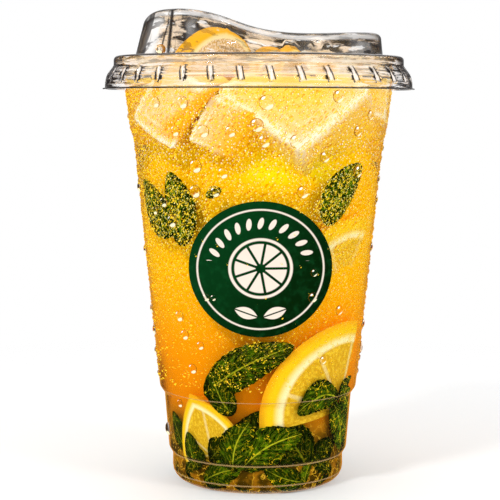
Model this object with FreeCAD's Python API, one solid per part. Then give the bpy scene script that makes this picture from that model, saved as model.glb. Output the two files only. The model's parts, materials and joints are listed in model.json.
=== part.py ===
"""An iced citrus drink in a clear plastic tumbler with a clear sip-through lid.

Millimetres. +Z is up, the base stands on Z = 0 and the tumbler's axis is the Z axis.
The lid's raised spout points to -X and the round label faces -Y.
Every piece is one closed solid, written to parts/NAME.step.
"""

import FreeCAD
import Part

import math
import os

# --- tumbler -----------------------------------------------------------------------------------------
CUP_WALL = 0.5             # wall thickness of the thermoformed tumbler
FOOT_RADIUS = 29.15        # outer radius of the lowest band
FOOT_ROUND = 5.0           # rounding between the foot's wall and its underside
FOOT_INNER_RADIUS = 22.0   # the foot ring stands between this radius and the rounding
FOOT_INNER_ROUND = 1.0     # rounding of the foot ring's inner edge
PUNT_RADIUS = 19.5         # flat, raised middle of the base
PUNT_HEIGHT = 3.0          # how far that middle stands above the table
PUNT_ROUND = 1.2           # rounding of its edge
LEAST_ROUND = 0.2          # the smallest rounding that is still drawn
FOOT_TOP = 9.1             # height of the first stacking shoulder
BAND_RADIUS = 30.35        # radius just above the first shoulder
BAND_TOP_RADIUS = 31.85    # radius just below the second shoulder
BAND_TOP = 30.0            # height of the second stacking shoulder
SHOULDER_RISE = 2.3        # height of each stacking shoulder
SHOULDER_ROUND = 2.4       # rounding on the outside of a shoulder
SHOULDER_CREASE = 0.3      # rounding of the crease under a shoulder
FOOT_DRAFT = 0.1           # how much the foot's wall leans in on its way up to the first shoulder
BODY_RADIUS = 33.45        # radius at the foot of the tapered body
COLLAR_RADIUS = 41.75      # radius at the top of the tapered body
COLLAR_HEIGHT = 115.2      # height of the top of the tapered body
NECK_RADIUS = 43.0         # radius above the gentle collar
NECK_HEIGHT = 119.2        # height of the top of the gentle collar
COLLAR_ROUND = 2.0         # rounding at both ends of the gentle collar
MOUTH_RADIUS = 45.75       # outer radius of the wall just below the rim
RIM_RADIUS = 48.1          # outer radius of the rolled rim
RIM_TOP = 142.9            # height of the tumbler
RIM_DROP = 2.6             # how far the rolled rim turns down again
RIM_ROUND = 1.3            # outer rounding of the rolled rim
RIM_INNER_ROUND = 0.9      # rounding of the rim where it meets the mouth
RIM_UNDER_ROUND = 0.4      # roundings inside the rolled rim

# --- lid ---------------------------------------------------------------------------------------------
LID_WALL = 0.4             # wall thickness of the lid
PLATE_TOP = 143.3          # top of the flat ledge round the lid
PLATE_RADIUS = 48.55       # radius of the ledge, which wraps the rolled rim
SKIRT_TOP = 140.2          # where the skirt starts to flare
SKIRT_RADIUS = 51.55       # radius at the foot of the skirt
SKIRT_FLARE = (            # (how far inside the skirt's foot, height, rounding) up the skirt
    (0.1, 134.6, 6.0), (0.65, 137.0, 4.0),
)
SKIRT_TOP_ROUND = 1.0      # rounding where the skirt meets the upright wall of the ledge
PLATE_ROUND = 1.4          # rounding of the ledge's outer edge
FLANGE_RADIUS = 52.25      # radius of the thin flange round the foot of the skirt
FLANGE_BOTTOM = 132.3      # height of the flange's underside
FLANGE_THICKNESS = 0.45
FLANGE_ROUND = 0.2         # rounding of the flange's edge
LUG_COUNT = 34             # snap lugs pressed into the skirt
LUG_FIRST = -86.1          # direction of the first lug, in degrees from +X
LUG_TOP = 139.3            # height of the wide end of a lug
LUG_BOTTOM = 134.3         # height of the narrow end of a lug
LUG_WALL_RADIUS = 50.05    # radius of the skirt's wall behind the wide end
LUG_TOP_PROUD = 0.8        # how far the wide end's middle stands out of that wall
LUG_BOTTOM_PROUD = 0.15    # how far the narrow end's middle stands out of the skirt's foot
LUG_TOP_RADIUS = 1.5       # radius of the wide end
LUG_BOTTOM_RADIUS = 0.55   # radius of the narrow end

MOUND_RADIUS = 38.6        # main round of the raised top, at the ledge
MOUND_SHIFT = 3.0          # its centre is this far towards +X
MOUND_SLOPE = 0.11         # how much a wall leans in for each millimetre of height
SPOUT_RADIUS = 26.4        # round of the drinking spout, at the ledge
SPOUT_SHIFT = -15.0        # its centre along X
SPOUT_SLOPE = 0.26
TOP_CURVE = (              # (along X, height) of the raised top, from the spout's front to the far end
    (-48.0, 141.0), (-40.0, 152.8), (-35.5, 157.0), (-28.5, 158.2), (-21.0, 157.5), (-12.0, 155.2),
    (-2.5, 151.8), (8.0, 149.9), (20.0, 149.8), (47.0, 150.8),
)
EDGE_ROUND = 2.0           # rounding of the raised top's edge
CREASE_ROUND = 0.8         # rounding of the crease where the spout's wall leaves the main wall
SIP_CENTRE = -27.5         # centre of the sip opening along X
SIP_HALF_LENGTH = 8.5      # half size of the sip opening along Y
SIP_HALF_WIDTH = 4.6       # half size of the sip opening along X
SIP_FLOOR = PLATE_TOP + 6.0    # the opening is cut from here through the crest
SIP_CUT = 20.0             # height of that cut

# --- contents and label ------------------------------------------------------------------------------
DRINK_LEVEL = 136.6        # height of the drink's surface
LABEL_HALF_WIDTH = 23.0    # half sizes of the round label, seen from the front
LABEL_HALF_HEIGHT = 21.8
LABEL_SHIFT = 0.6          # the label's centre along X
LABEL_HEIGHT = 75.4        # height of the label's centre
LABEL_THICKNESS = 0.15
LABEL_STAMP_REACH = 60.0   # how far the label's outline is drawn out towards the wall

# Citrus slices that stand out of the drink, under the lid: each is a round slice on edge.
# (name, centre of the slice, radius, thickness, turn about Z in degrees, lean towards -Y in degrees)
SLICES = (
    ("lemon_slice_spout", (-16.8, -4.0, 131.3), 21.8, 6.0, 53.0, 13.0),
    ("lemon_slice_middle", (1.8, -3.0, 126.2), 20.0, 4.6, 68.0, 6.0),
    ("lemon_slice_back", (8.4, -1.0, 125.9), 20.0, 4.6, 68.0, 6.0),
)
RIND_ROUND = 1.6           # rounding of a slice's rim
ICE_SIZE = (11.0, 18.0, 19.0)
ICE_CENTRE = (20.2, -6.0, 134.6)
ICE_ROUND = 2.2            # melted edges of the ice block
ICE_TURN = 6.0
ICE_LEAN = 4.0

OVERLAP = 2.0              # how far shapes that only cut or trim stand clear of what they cut
MOUND_FLOOR = PLATE_TOP - OVERLAP
MOUND_LIMIT = max(height for along, height in TOP_CURVE) + 2 * OVERLAP
SLAB_REACH = MOUND_RADIUS + 3 * OVERLAP

AXIS = FreeCAD.Vector(0, 0, 1)
ORIGIN = FreeCAD.Vector(0, 0, 0)


def vector(radius, height):
    """A point of a half section, in the XZ plane."""
    return FreeCAD.Vector(radius, 0, height)


def rounded_outline(corners):
    """A closed wire through corners, each (radius, height, rounding), with tangent arcs at the rounded ones."""
    starts, ends, middles = [], [], []
    for i, (radius, height, rounding) in enumerate(corners):
        corner = vector(radius, height)
        before = vector(*corners[i - 1][:2]) - corner
        after = vector(*corners[(i + 1) % len(corners)][:2]) - corner
        before.normalize()
        after.normalize()
        half = before.getAngle(after) / 2
        if rounding <= 0 or abs(half - math.pi / 2) < 1e-3:
            starts.append(corner)
            ends.append(corner)
            middles.append(None)
            continue
        reach = rounding / math.tan(half)
        bisector = before + after
        bisector.normalize()
        centre = corner + bisector * (rounding / math.sin(half))
        starts.append(corner + before * reach)
        ends.append(corner + after * reach)
        middles.append(centre - bisector * rounding)
    edges = []
    for i, middle in enumerate(middles):
        if middle is not None:
            edges.append(Part.Arc(starts[i], middle, ends[i]).toShape())
        following = starts[(i + 1) % len(corners)]
        if ends[i].distanceToPoint(following) > 1e-6:
            edges.append(Part.LineSegment(ends[i], following).toShape())
    return Part.Wire(edges)


def turned(corners):
    """The solid of revolution of a half section about the Z axis."""
    return Part.Face(rounded_outline(corners)).revolve(ORIGIN, AXIS, 360)


def wall_corners(inset):
    """The tumbler's wall from the foot ring to below the rim, moved inwards by inset."""
    return [
        (FOOT_RADIUS - inset, inset, FOOT_ROUND - inset),
        (FOOT_RADIUS - FOOT_DRAFT - inset, FOOT_TOP, SHOULDER_CREASE),
        (BAND_RADIUS - inset, FOOT_TOP + SHOULDER_RISE, SHOULDER_ROUND),
        (BAND_TOP_RADIUS - inset, BAND_TOP, SHOULDER_CREASE),
        (BODY_RADIUS - inset, BAND_TOP + SHOULDER_RISE, SHOULDER_ROUND),
        (COLLAR_RADIUS - inset, COLLAR_HEIGHT, COLLAR_ROUND),
        (NECK_RADIUS - inset, NECK_HEIGHT, COLLAR_ROUND),
    ]


def base_corners(inset):
    """The raised middle of the base and the inside of the foot ring, from the axis outwards."""
    return [
        (0, PUNT_HEIGHT + inset, 0),
        (PUNT_RADIUS + inset / 2, PUNT_HEIGHT + inset, PUNT_ROUND + inset),
        (FOOT_INNER_RADIUS + inset / 2, inset, max(FOOT_INNER_ROUND - inset, LEAST_ROUND)),
    ]


def tumbler():
    """The tumbler: base, stacking shoulders, tapered wall and rolled rim, as one thin wall."""
    rim_inner = MOUTH_RADIUS - CUP_WALL
    outside = base_corners(0) + wall_corners(0)
    rim = [
        (MOUTH_RADIUS, RIM_TOP - CUP_WALL, RIM_UNDER_ROUND),
        (RIM_RADIUS - CUP_WALL, RIM_TOP - CUP_WALL, RIM_UNDER_ROUND),
        (RIM_RADIUS - CUP_WALL, RIM_TOP - RIM_DROP, 0),
        (RIM_RADIUS, RIM_TOP - RIM_DROP, 0),
        (RIM_RADIUS, RIM_TOP, RIM_ROUND),
        (rim_inner, RIM_TOP, RIM_INNER_ROUND),
    ]
    inside = base_corners(CUP_WALL) + wall_corners(CUP_WALL)
    return turned(outside + rim + inside[::-1])


def drink_body():
    """The drink: the tumbler's whole inside, up to the drink's level."""
    share = (DRINK_LEVEL - NECK_HEIGHT) / (RIM_TOP - NECK_HEIGHT)
    level_radius = NECK_RADIUS + share * (MOUTH_RADIUS - NECK_RADIUS) - CUP_WALL
    corners = base_corners(CUP_WALL) + wall_corners(CUP_WALL)
    return turned(corners + [(level_radius, DRINK_LEVEL, 0), (0, DRINK_LEVEL, 0)])


def skirt_body(inset, bottom):
    """The filled shape of the lid's skirt and ledge, moved inwards by inset."""
    flare = [(SKIRT_RADIUS - inwards - inset, height, rounding) for inwards, height, rounding in SKIRT_FLARE]
    ledge = [
        (PLATE_RADIUS - inset, SKIRT_TOP, SKIRT_TOP_ROUND),
        (PLATE_RADIUS - inset, PLATE_TOP - inset, PLATE_ROUND - inset),
        (0, PLATE_TOP - inset, 0),
    ]
    return turned([(0, bottom, 0), (SKIRT_RADIUS - inset, bottom, 0)] + flare + ledge)


def leaning_round(radius, shift, slope, inset):
    """A cone whose radius is given at the ledge, standing through the ledge and past the crest."""
    bottom_radius = radius - inset + slope * (PLATE_TOP - MOUND_FLOOR)
    top_radius = radius - inset - slope * (MOUND_LIMIT - PLATE_TOP)
    base = FreeCAD.Vector(shift, 0, MOUND_FLOOR)
    return Part.makeCone(bottom_radius, top_radius, MOUND_LIMIT - MOUND_FLOOR, base, AXIS)


def under_top_curve(inset):
    """A slab along Y whose top is the raised top's long curve from the spout to the far end."""
    points = [FreeCAD.Vector(x, -SLAB_REACH, z - inset) for x, z in TOP_CURVE]
    top = Part.BSplineCurve()
    top.interpolate(points)
    first, last = points[0], points[-1]
    below_last = FreeCAD.Vector(last.x, last.y, MOUND_FLOOR)
    below_first = FreeCAD.Vector(first.x, first.y, MOUND_FLOOR)
    corners = [last, below_last, below_first, first]
    edges = [top.toShape()]
    edges += [Part.LineSegment(a, b).toShape() for a, b in zip(corners, corners[1:])]
    return Part.Face(Part.Wire(edges)).extrude(FreeCAD.Vector(0, 2 * SLAB_REACH, 0))


def is_crease(solid, edge):
    """True for an upright edge where the spout's wall meets the main wall."""
    faces = solid.ancestorsOfType(edge, Part.Face)
    return edge.BoundBox.XMax < SPOUT_SHIFT and all(isinstance(face.Surface, Part.Cone) for face in faces)


def mound(inset):
    """The filled shape of the raised top with its drinking spout, moved inwards by inset."""
    main = leaning_round(MOUND_RADIUS, MOUND_SHIFT, MOUND_SLOPE, inset)
    spout = leaning_round(SPOUT_RADIUS, SPOUT_SHIFT, SPOUT_SLOPE, inset)
    raised = main.fuse(spout).common(under_top_curve(inset))
    creases = [edge for edge in raised.Edges if is_crease(raised, edge)]
    raised = raised.makeFillet(CREASE_ROUND + inset, creases)
    top = max(raised.Faces, key=lambda face: face.CenterOfMass.z)
    return raised.makeFillet(EDGE_ROUND - inset, top.Edges)


def lugs(growth):
    """The snap lugs: slim cones pressed into the skirt from outside, grown by growth."""
    top = FreeCAD.Vector(LUG_WALL_RADIUS + LUG_TOP_PROUD, 0, LUG_TOP)
    bottom = FreeCAD.Vector(SKIRT_RADIUS + LUG_BOTTOM_PROUD, 0, LUG_BOTTOM)
    along = bottom - top
    cone = Part.makeCone(LUG_TOP_RADIUS + growth, LUG_BOTTOM_RADIUS + growth, along.Length, top, along)
    cones = []
    for i in range(LUG_COUNT):
        lug = cone.copy()
        lug.rotate(ORIGIN, AXIS, LUG_FIRST + i * 360 / LUG_COUNT)
        cones.append(lug)
    return cones


def sip_opening():
    """A tall oval prism through the crest of the spout."""
    oval = Part.Ellipse(ORIGIN, SIP_HALF_LENGTH, SIP_HALF_WIDTH).toShape()
    oval.rotate(ORIGIN, AXIS, 90)
    oval.translate(FreeCAD.Vector(SIP_CENTRE, 0, SIP_FLOOR))
    return Part.Face(Part.Wire([oval])).extrude(FreeCAD.Vector(0, 0, SIP_CUT))


def flange():
    """The thin flange round the foot of the skirt."""
    inner = SKIRT_RADIUS - LID_WALL / 2
    return turned([
        (inner, FLANGE_BOTTOM, 0),
        (FLANGE_RADIUS, FLANGE_BOTTOM, FLANGE_ROUND),
        (FLANGE_RADIUS, FLANGE_BOTTOM + FLANGE_THICKNESS, FLANGE_ROUND),
        (inner, FLANGE_BOTTOM + FLANGE_THICKNESS, 0),
    ])


def lid():
    """The lid: one thin wall with a flange, a lugged skirt, a ledge and the raised top."""
    outside = skirt_body(0, FLANGE_BOTTOM).cut(lugs(0)).fuse(mound(0))
    inside = skirt_body(LID_WALL, FLANGE_BOTTOM - OVERLAP / 2).cut(lugs(LID_WALL)).fuse(mound(LID_WALL))
    return outside.cut(inside).cut(sip_opening()).fuse(flange())


def body_cone(growth):
    """The tapered body between its shoulders as a filled cone, grown by growth."""
    foot = BAND_TOP + SHOULDER_RISE
    base = FreeCAD.Vector(0, 0, foot)
    return Part.makeCone(BODY_RADIUS + growth, COLLAR_RADIUS + growth, COLLAR_HEIGHT - foot, base, AXIS)


def label():
    """A thin round label that follows the tapered wall, facing -Y."""
    skin = body_cone(LABEL_THICKNESS).cut(body_cone(0))
    oval = Part.Ellipse(ORIGIN, LABEL_HALF_WIDTH, LABEL_HALF_HEIGHT).toShape()
    oval.rotate(ORIGIN, FreeCAD.Vector(1, 0, 0), 90)
    oval.translate(FreeCAD.Vector(LABEL_SHIFT, 0, LABEL_HEIGHT))
    stamp = Part.Face(Part.Wire([oval])).extrude(FreeCAD.Vector(0, -LABEL_STAMP_REACH, 0))
    return skin.common(stamp)


def placed(shape, centre, turn, lean):
    """shape leaned about X, turned about Z, and moved to centre."""
    shape.rotate(ORIGIN, FreeCAD.Vector(1, 0, 0), lean)
    shape.rotate(ORIGIN, AXIS, turn)
    shape.translate(FreeCAD.Vector(*centre))
    return shape


def citrus_slice(centre, radius, thickness, turn, lean):
    """A round slice standing on edge, with a rounded rim of rind."""
    start = FreeCAD.Vector(0, -thickness / 2, 0)
    disc = Part.makeCylinder(radius, thickness, start, FreeCAD.Vector(0, 1, 0))
    rims = [e for e in disc.Edges if isinstance(e.Curve, Part.Circle)]
    return placed(disc.makeFillet(RIND_ROUND, rims), centre, turn, lean)


def ice_block():
    """A block of ice with melted edges."""
    length, width, height = ICE_SIZE
    corner = FreeCAD.Vector(-length / 2, -width / 2, -height / 2)
    block = Part.makeBox(length, width, height, corner)
    return placed(block.makeFillet(ICE_ROUND, block.Edges), ICE_CENTRE, ICE_TURN, ICE_LEAN)


def build():
    """Every piece by name. A floating piece is kept whole, and the drink is cut round them all."""
    pieces = {"tumbler": tumbler(), "lid": lid(), "label": label(), "ice_top": ice_block()}
    for name, centre, radius, thickness, turn, lean in SLICES:
        pieces[name] = citrus_slice(centre, radius, thickness, turn, lean)
    floating = [pieces["ice_top"]] + [pieces[row[0]] for row in SLICES]
    pieces["drink"] = drink_body().cut(floating)
    return pieces


os.makedirs("parts", exist_ok=True)
for name, shape in build().items():
    solid = shape.Solids[0] if len(shape.Solids) == 1 else shape
    box = solid.BoundBox
    print(f"{name:20s} solids {len(shape.Solids)} valid {solid.isValid()} volume {solid.Volume:10.1f} mm3 "
          f"X {box.XMin:7.2f} {box.XMax:7.2f} Y {box.YMin:7.2f} {box.YMax:7.2f} Z {box.ZMin:7.2f} {box.ZMax:7.2f}")
    solid.exportStep(f"parts/{name}.step")
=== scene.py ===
"""Finishes an iced citrus drink in a clear lidded tumbler, around its packed CAD model.

The tumbler is redrawn as a smooth clear shell and filled with clear juice that reaches into its wall.
Behind the wall stand cloudy juice, ice blocks, lemon pieces and mint, and cold dew sits on the outside.
Everything is in metres, with the tumbler's axis on Z, the lid's spout at -X and the label at -Y.
"""

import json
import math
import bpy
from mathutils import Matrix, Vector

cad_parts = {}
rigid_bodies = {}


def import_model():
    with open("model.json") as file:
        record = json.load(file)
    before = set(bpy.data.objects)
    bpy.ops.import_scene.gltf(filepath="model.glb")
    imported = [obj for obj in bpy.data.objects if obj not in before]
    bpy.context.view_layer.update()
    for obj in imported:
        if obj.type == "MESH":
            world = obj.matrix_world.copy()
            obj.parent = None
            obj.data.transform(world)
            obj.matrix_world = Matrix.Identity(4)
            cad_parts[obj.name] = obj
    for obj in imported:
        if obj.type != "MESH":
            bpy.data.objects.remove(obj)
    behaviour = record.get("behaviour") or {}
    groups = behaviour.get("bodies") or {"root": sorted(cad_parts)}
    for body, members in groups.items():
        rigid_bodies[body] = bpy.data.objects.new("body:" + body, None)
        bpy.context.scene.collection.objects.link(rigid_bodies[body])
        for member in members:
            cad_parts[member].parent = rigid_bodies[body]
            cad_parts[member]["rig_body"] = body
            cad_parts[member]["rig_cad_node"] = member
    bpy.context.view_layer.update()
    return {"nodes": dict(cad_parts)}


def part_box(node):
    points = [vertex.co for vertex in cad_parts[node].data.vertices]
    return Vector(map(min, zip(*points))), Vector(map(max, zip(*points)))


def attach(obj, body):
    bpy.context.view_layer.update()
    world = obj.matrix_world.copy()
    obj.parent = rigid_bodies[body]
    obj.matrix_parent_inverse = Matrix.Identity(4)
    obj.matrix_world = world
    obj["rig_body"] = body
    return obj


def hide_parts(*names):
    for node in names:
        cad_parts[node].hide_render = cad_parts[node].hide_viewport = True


bl_info = {
    "name": "Iced Citrus Drink",
    "version": (1, 0, 0),
    "blender": (4, 5, 0),
    "location": "3D View > Sidebar > Drink",
    "description": "Builds the looks of an iced citrus drink around its CAD frame",
    "category": "Object",
}

import bpy
import numpy as np
from mathutils import Matrix, Vector

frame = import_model()

MM = 0.001
BODY = "root"
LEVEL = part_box("drink")[1].z
LID_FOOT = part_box("lid")[0].z

# The tumbler's outside from the foot to the neck: (radius, height, rounding) in millimetres.
WALL = 0.5
OUTSIDE = (
    (29.15, 0.0, 5.0), (29.05, 9.1, 0.3), (30.35, 11.4, 2.4), (31.85, 30.0, 0.3),
    (33.45, 32.3, 2.4), (41.75, 115.2, 2.0), (43.0, 119.2, 2.0),
)
PUNT = ((0.0, 3.0, 0.0), (19.5, 3.0, 1.2), (22.0, 0.0, 1.0))
MOUTH_RADIUS = 45.75
RIM_RADIUS = 48.1
RIM_TOP = 142.9
RIM_DROP = 2.6

# Painted highlight lines at the wall's moulded steps: (height, half thickness).
PAINTED_STEP_LINES = ((0.0316, 0.00016), (0.0101, 0.00026), (0.0034, 0.00025), (0.0006, 0.0003))
# Height of a painted dark line by the lower step.
PAINTED_DARK_LINE = 0.0107
LID_PLATE = 0.1434         # where the lid's raised top starts
LUGS = 34
LUG_FIRST = 86.1           # direction of the first lug, in degrees

# The wall's radius follows its height in one slope above the upper shoulder and another below it.
SHOULDER = 31.0 * MM
UPPER_WALL = (30.22 * MM, 0.1001)
LOWER_WALL = (28.9 * MM, 0.094)


# ---------------------------------------------------------------------------------------------------
# Settings
# ---------------------------------------------------------------------------------------------------

def colour_setting(name, description, default):
    """A colour that the sidebar shows."""
    return bpy.props.FloatVectorProperty(
        name=name, description=description, default=default, size=3, min=0.0, max=1.0, subtype="COLOR")


def length_setting(name, description, default):
    """A length in metres that the sidebar shows."""
    return bpy.props.FloatProperty(
        name=name, description=description, default=default, unit="LENGTH", precision=4)


def number_setting(name, description, default):
    """A plain number that the sidebar shows."""
    return bpy.props.FloatProperty(name=name, description=description, default=default, precision=3)


class StageSettings(bpy.types.PropertyGroup):
    """Camera, lamps and floor."""
    lens: number_setting("Lens", "Focal length in millimetres on a 36 mm sensor", 110.0)
    distance: length_setting("Distance", "From the tumbler's axis to the camera, level", 0.517)
    height: length_setting("Height", "Of the camera above the table", 0.127)
    aside: length_setting("Aside", "How far the camera stands to the left of the axis", 0.00277)
    pitch: bpy.props.FloatProperty(
        name="Pitch", description="How far the camera looks down", default=math.radians(5.4), subtype="ANGLE")
    roll: bpy.props.FloatProperty(
        name="Roll", description="How far the camera leans", default=math.radians(0.13), subtype="ANGLE")
    key: number_setting("Key lamp", "Power of the key lamp in watts", 2.6)
    fill: number_setting("Fill lamp", "Power of the fill lamp in watts", 1.6)
    sky: number_setting("Sky", "Brightness of the even light from all round", 0.86)
    flag: number_setting("Flags", "How bright the front and the sides look in the glass", 0.035)
    floor: colour_setting("Floor", "Pale plain floor", (0.93, 0.93, 0.93))


class TumblerSettings(bpy.types.PropertyGroup):
    """The clear tumbler and its lid."""
    ior: number_setting("Bend", "Refraction of the thin sheet", 1.16)
    lid_ior: number_setting("Lid bend", "Refraction of the lid's sheet", 1.22)
    # The lid's painted reflections: dark and pale streaks in its raised top and a pale sheen on its skirt.
    painted_dark_reflection: colour_setting("Smoke", "Dark streaks in the lid's raised top", (0.018, 0.012, 0.011))
    streak: colour_setting("Streak", "Pale streaks in the lid's raised top", (0.86, 0.78, 0.72))
    haze_and_painted_sheen: colour_setting("Haze", "Pale bloom on the lid's skirt", (0.96, 0.88, 0.82))


class JuiceSettings(bpy.types.PropertyGroup):
    """The juice, paler near its surface and amber at the foot."""
    foot: colour_setting("Foot", "At the base, between the leaves", (0.34, 0.14, 0.005))
    # Painted shade: dark patches among the leaves at the foot.
    murk: colour_setting("Murk", "Deeper leaves at the foot", (0.014, 0.014, 0.0006))
    # Painted glints at the foot.
    fleck: colour_setting("Flecks", "Bits of light at the foot", (0.86, 0.50, 0.03))
    low: colour_setting("Low", "Above the lower shoulder", (0.80, 0.235, 0.002))
    orange: colour_setting("Orange", "Below the label", (0.97, 0.325, 0.001))
    gold: colour_setting("Gold", "Behind the label", (0.98, 0.50, 0.002))
    amber: colour_setting("Amber", "Above the label", (0.98, 0.50, 0.002))
    bright: colour_setting("Bright", "Just under the ice", (1.0, 0.62, 0.003))
    pale: colour_setting("Pale", "Among the ice", (1.0, 0.64, 0.07))
    # Painted light: bright patches under the ice.
    painted_glow: colour_setting("Glow", "Bright patches under the ice", (1.0, 0.80, 0.004))
    tint: colour_setting("Tint", "Of the clear juice by the wall", (1.0, 0.95, 0.72))
    ior: number_setting("Bend", "Refraction of the juice", 1.33)
    reach: length_setting("Reach", "How far the juice reaches into the wall", 0.2 * MM)
    haze_and_painted_sheen: length_setting("Haze", "Depth at which a sunk piece has faded into the juice", 13.0 * MM)


class FruitSettings(bpy.types.PropertyGroup):
    """Lemon and ice."""
    rind: colour_setting("Rind", "Outer skin", (0.97, 0.60, 0.004))
    pith: colour_setting("Pith", "White layer under the rind", (1.0, 0.90, 0.50))
    pulp: colour_setting("Pulp", "Juice cells", (0.72, 0.39, 0.006))
    pulp_light: colour_setting("Light pulp", "Bright juice cells", (0.92, 0.62, 0.030))
    thickness: length_setting("Slice thickness", "Of a cut slice", 6.0 * MM)
    # The ice's painted light: ice on the lit faces, painted shade on the faces turned from the key, painted
    # highlights along the lit edges.
    ice: colour_setting("Ice", "Cloudy ice in the light", (0.91, 0.60, 0.27))
    ice_edge_highlight: colour_setting("Ice edge", "Bright melted edges", (1.0, 0.95, 0.82))
    ice_shade: colour_setting("Ice shade", "Faces turned from the light", (0.88, 0.50, 0.07))
    ice_gold: colour_setting("Ice gold", "Where a block fades into the juice", (0.94, 0.42, 0.006))


class MintSettings(bpy.types.PropertyGroup):
    """Mint leaves."""
    # Painted shade in the hollows and painted light on the raised parts.
    dark: colour_setting("Dark", "Hollows between the veins", (0.002, 0.005, 0.0002))
    green: colour_setting("Green", "Blade", (0.014, 0.034, 0.0004))
    light: colour_setting("Light", "Raised parts", (0.080, 0.175, 0.0015))
    vein: colour_setting("Vein", "Midrib and side veins", (0.50, 0.52, 0.020))
    seed: bpy.props.IntProperty(name="Seed", description="Of the leaves that stand all round", default=4)


class LabelSettings(bpy.types.PropertyGroup):
    """The round label."""
    green: colour_setting("Green", "Ground", (0.0006, 0.040, 0.007))
    deep: colour_setting("Deep green", "Shaded side of the ground", (0.0004, 0.016, 0.001))
    cream: colour_setting("Cream", "Print", (0.86, 0.75, 0.64))
    half_width: length_setting("Half width", "Seen from the front", 23.0 * MM)
    half_height: length_setting("Half height", "Seen from the front", 21.8 * MM)
    thickness: length_setting("Thickness", "Of the film", 0.15 * MM)


class DewSettings(bpy.types.PropertyGroup):
    """Cold dew on the outside."""
    count: bpy.props.IntProperty(name="Count", description="Fine drops all round", default=9000)
    seed: bpy.props.IntProperty(name="Seed", description="Of the drops' places", default=11)
    tint: colour_setting("Tint", "Of the light through a drop", (1.0, 0.93, 0.80))


# ---------------------------------------------------------------------------------------------------
# Shader nodes as expressions
# ---------------------------------------------------------------------------------------------------

class Socket:
    """One output of a shader node. Arithmetic on it adds Math nodes."""

    def __init__(self, shader, output):
        self.shader = shader
        self.output = output

    def out(self, name):
        """Another output of the same node."""
        return Socket(self.shader, self.output.node.outputs[name])

    def math(self, operation, *others):
        """A Math node with this value first."""
        return self.shader.add("ShaderNodeMath", {"operation": operation}, (self, *others))

    def __add__(self, other):
        return self.math("ADD", other)

    def __radd__(self, other):
        return self.math("ADD", other)

    def __sub__(self, other):
        return self.math("SUBTRACT", other)

    def __rsub__(self, other):
        return self.shader.add("ShaderNodeMath", {"operation": "SUBTRACT"}, (other, self))

    def __mul__(self, other):
        return self.math("MULTIPLY", other)

    def __rmul__(self, other):
        return self.math("MULTIPLY", other)

    def __truediv__(self, other):
        return self.math("DIVIDE", other)

    def __rtruediv__(self, other):
        return self.shader.add("ShaderNodeMath", {"operation": "DIVIDE"}, (other, self))

    def __pow__(self, other):
        return self.math("POWER", other)

    def __lt__(self, other):
        return self.math("LESS_THAN", other)

    def __gt__(self, other):
        return self.math("GREATER_THAN", other)

    def __abs__(self):
        return self.math("ABSOLUTE")

    def most(self, other):
        """The larger of two values."""
        return self.math("MAXIMUM", other)

    def hypot(self, other):
        """The length of a level step of two values."""
        return (self * self + other * other) ** 0.5

    def line(self, clear, faded):
        """1 near the value 0, gone from faded on, and full up to clear."""
        return 1.0 - abs(self).step(clear, faded)

    def out_colour(self):
        """The colour output of a Mix node."""
        return Socket(self.shader, self.output.node.outputs[2])

    def step(self, low, high):
        """0 below low and 1 above high, with a smooth rise between them."""
        settings = {"interpolation_type": "SMOOTHSTEP"}
        return self.shader.add("ShaderNodeMapRange", settings, {"Value": self, 1: low, 2: high})


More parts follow.
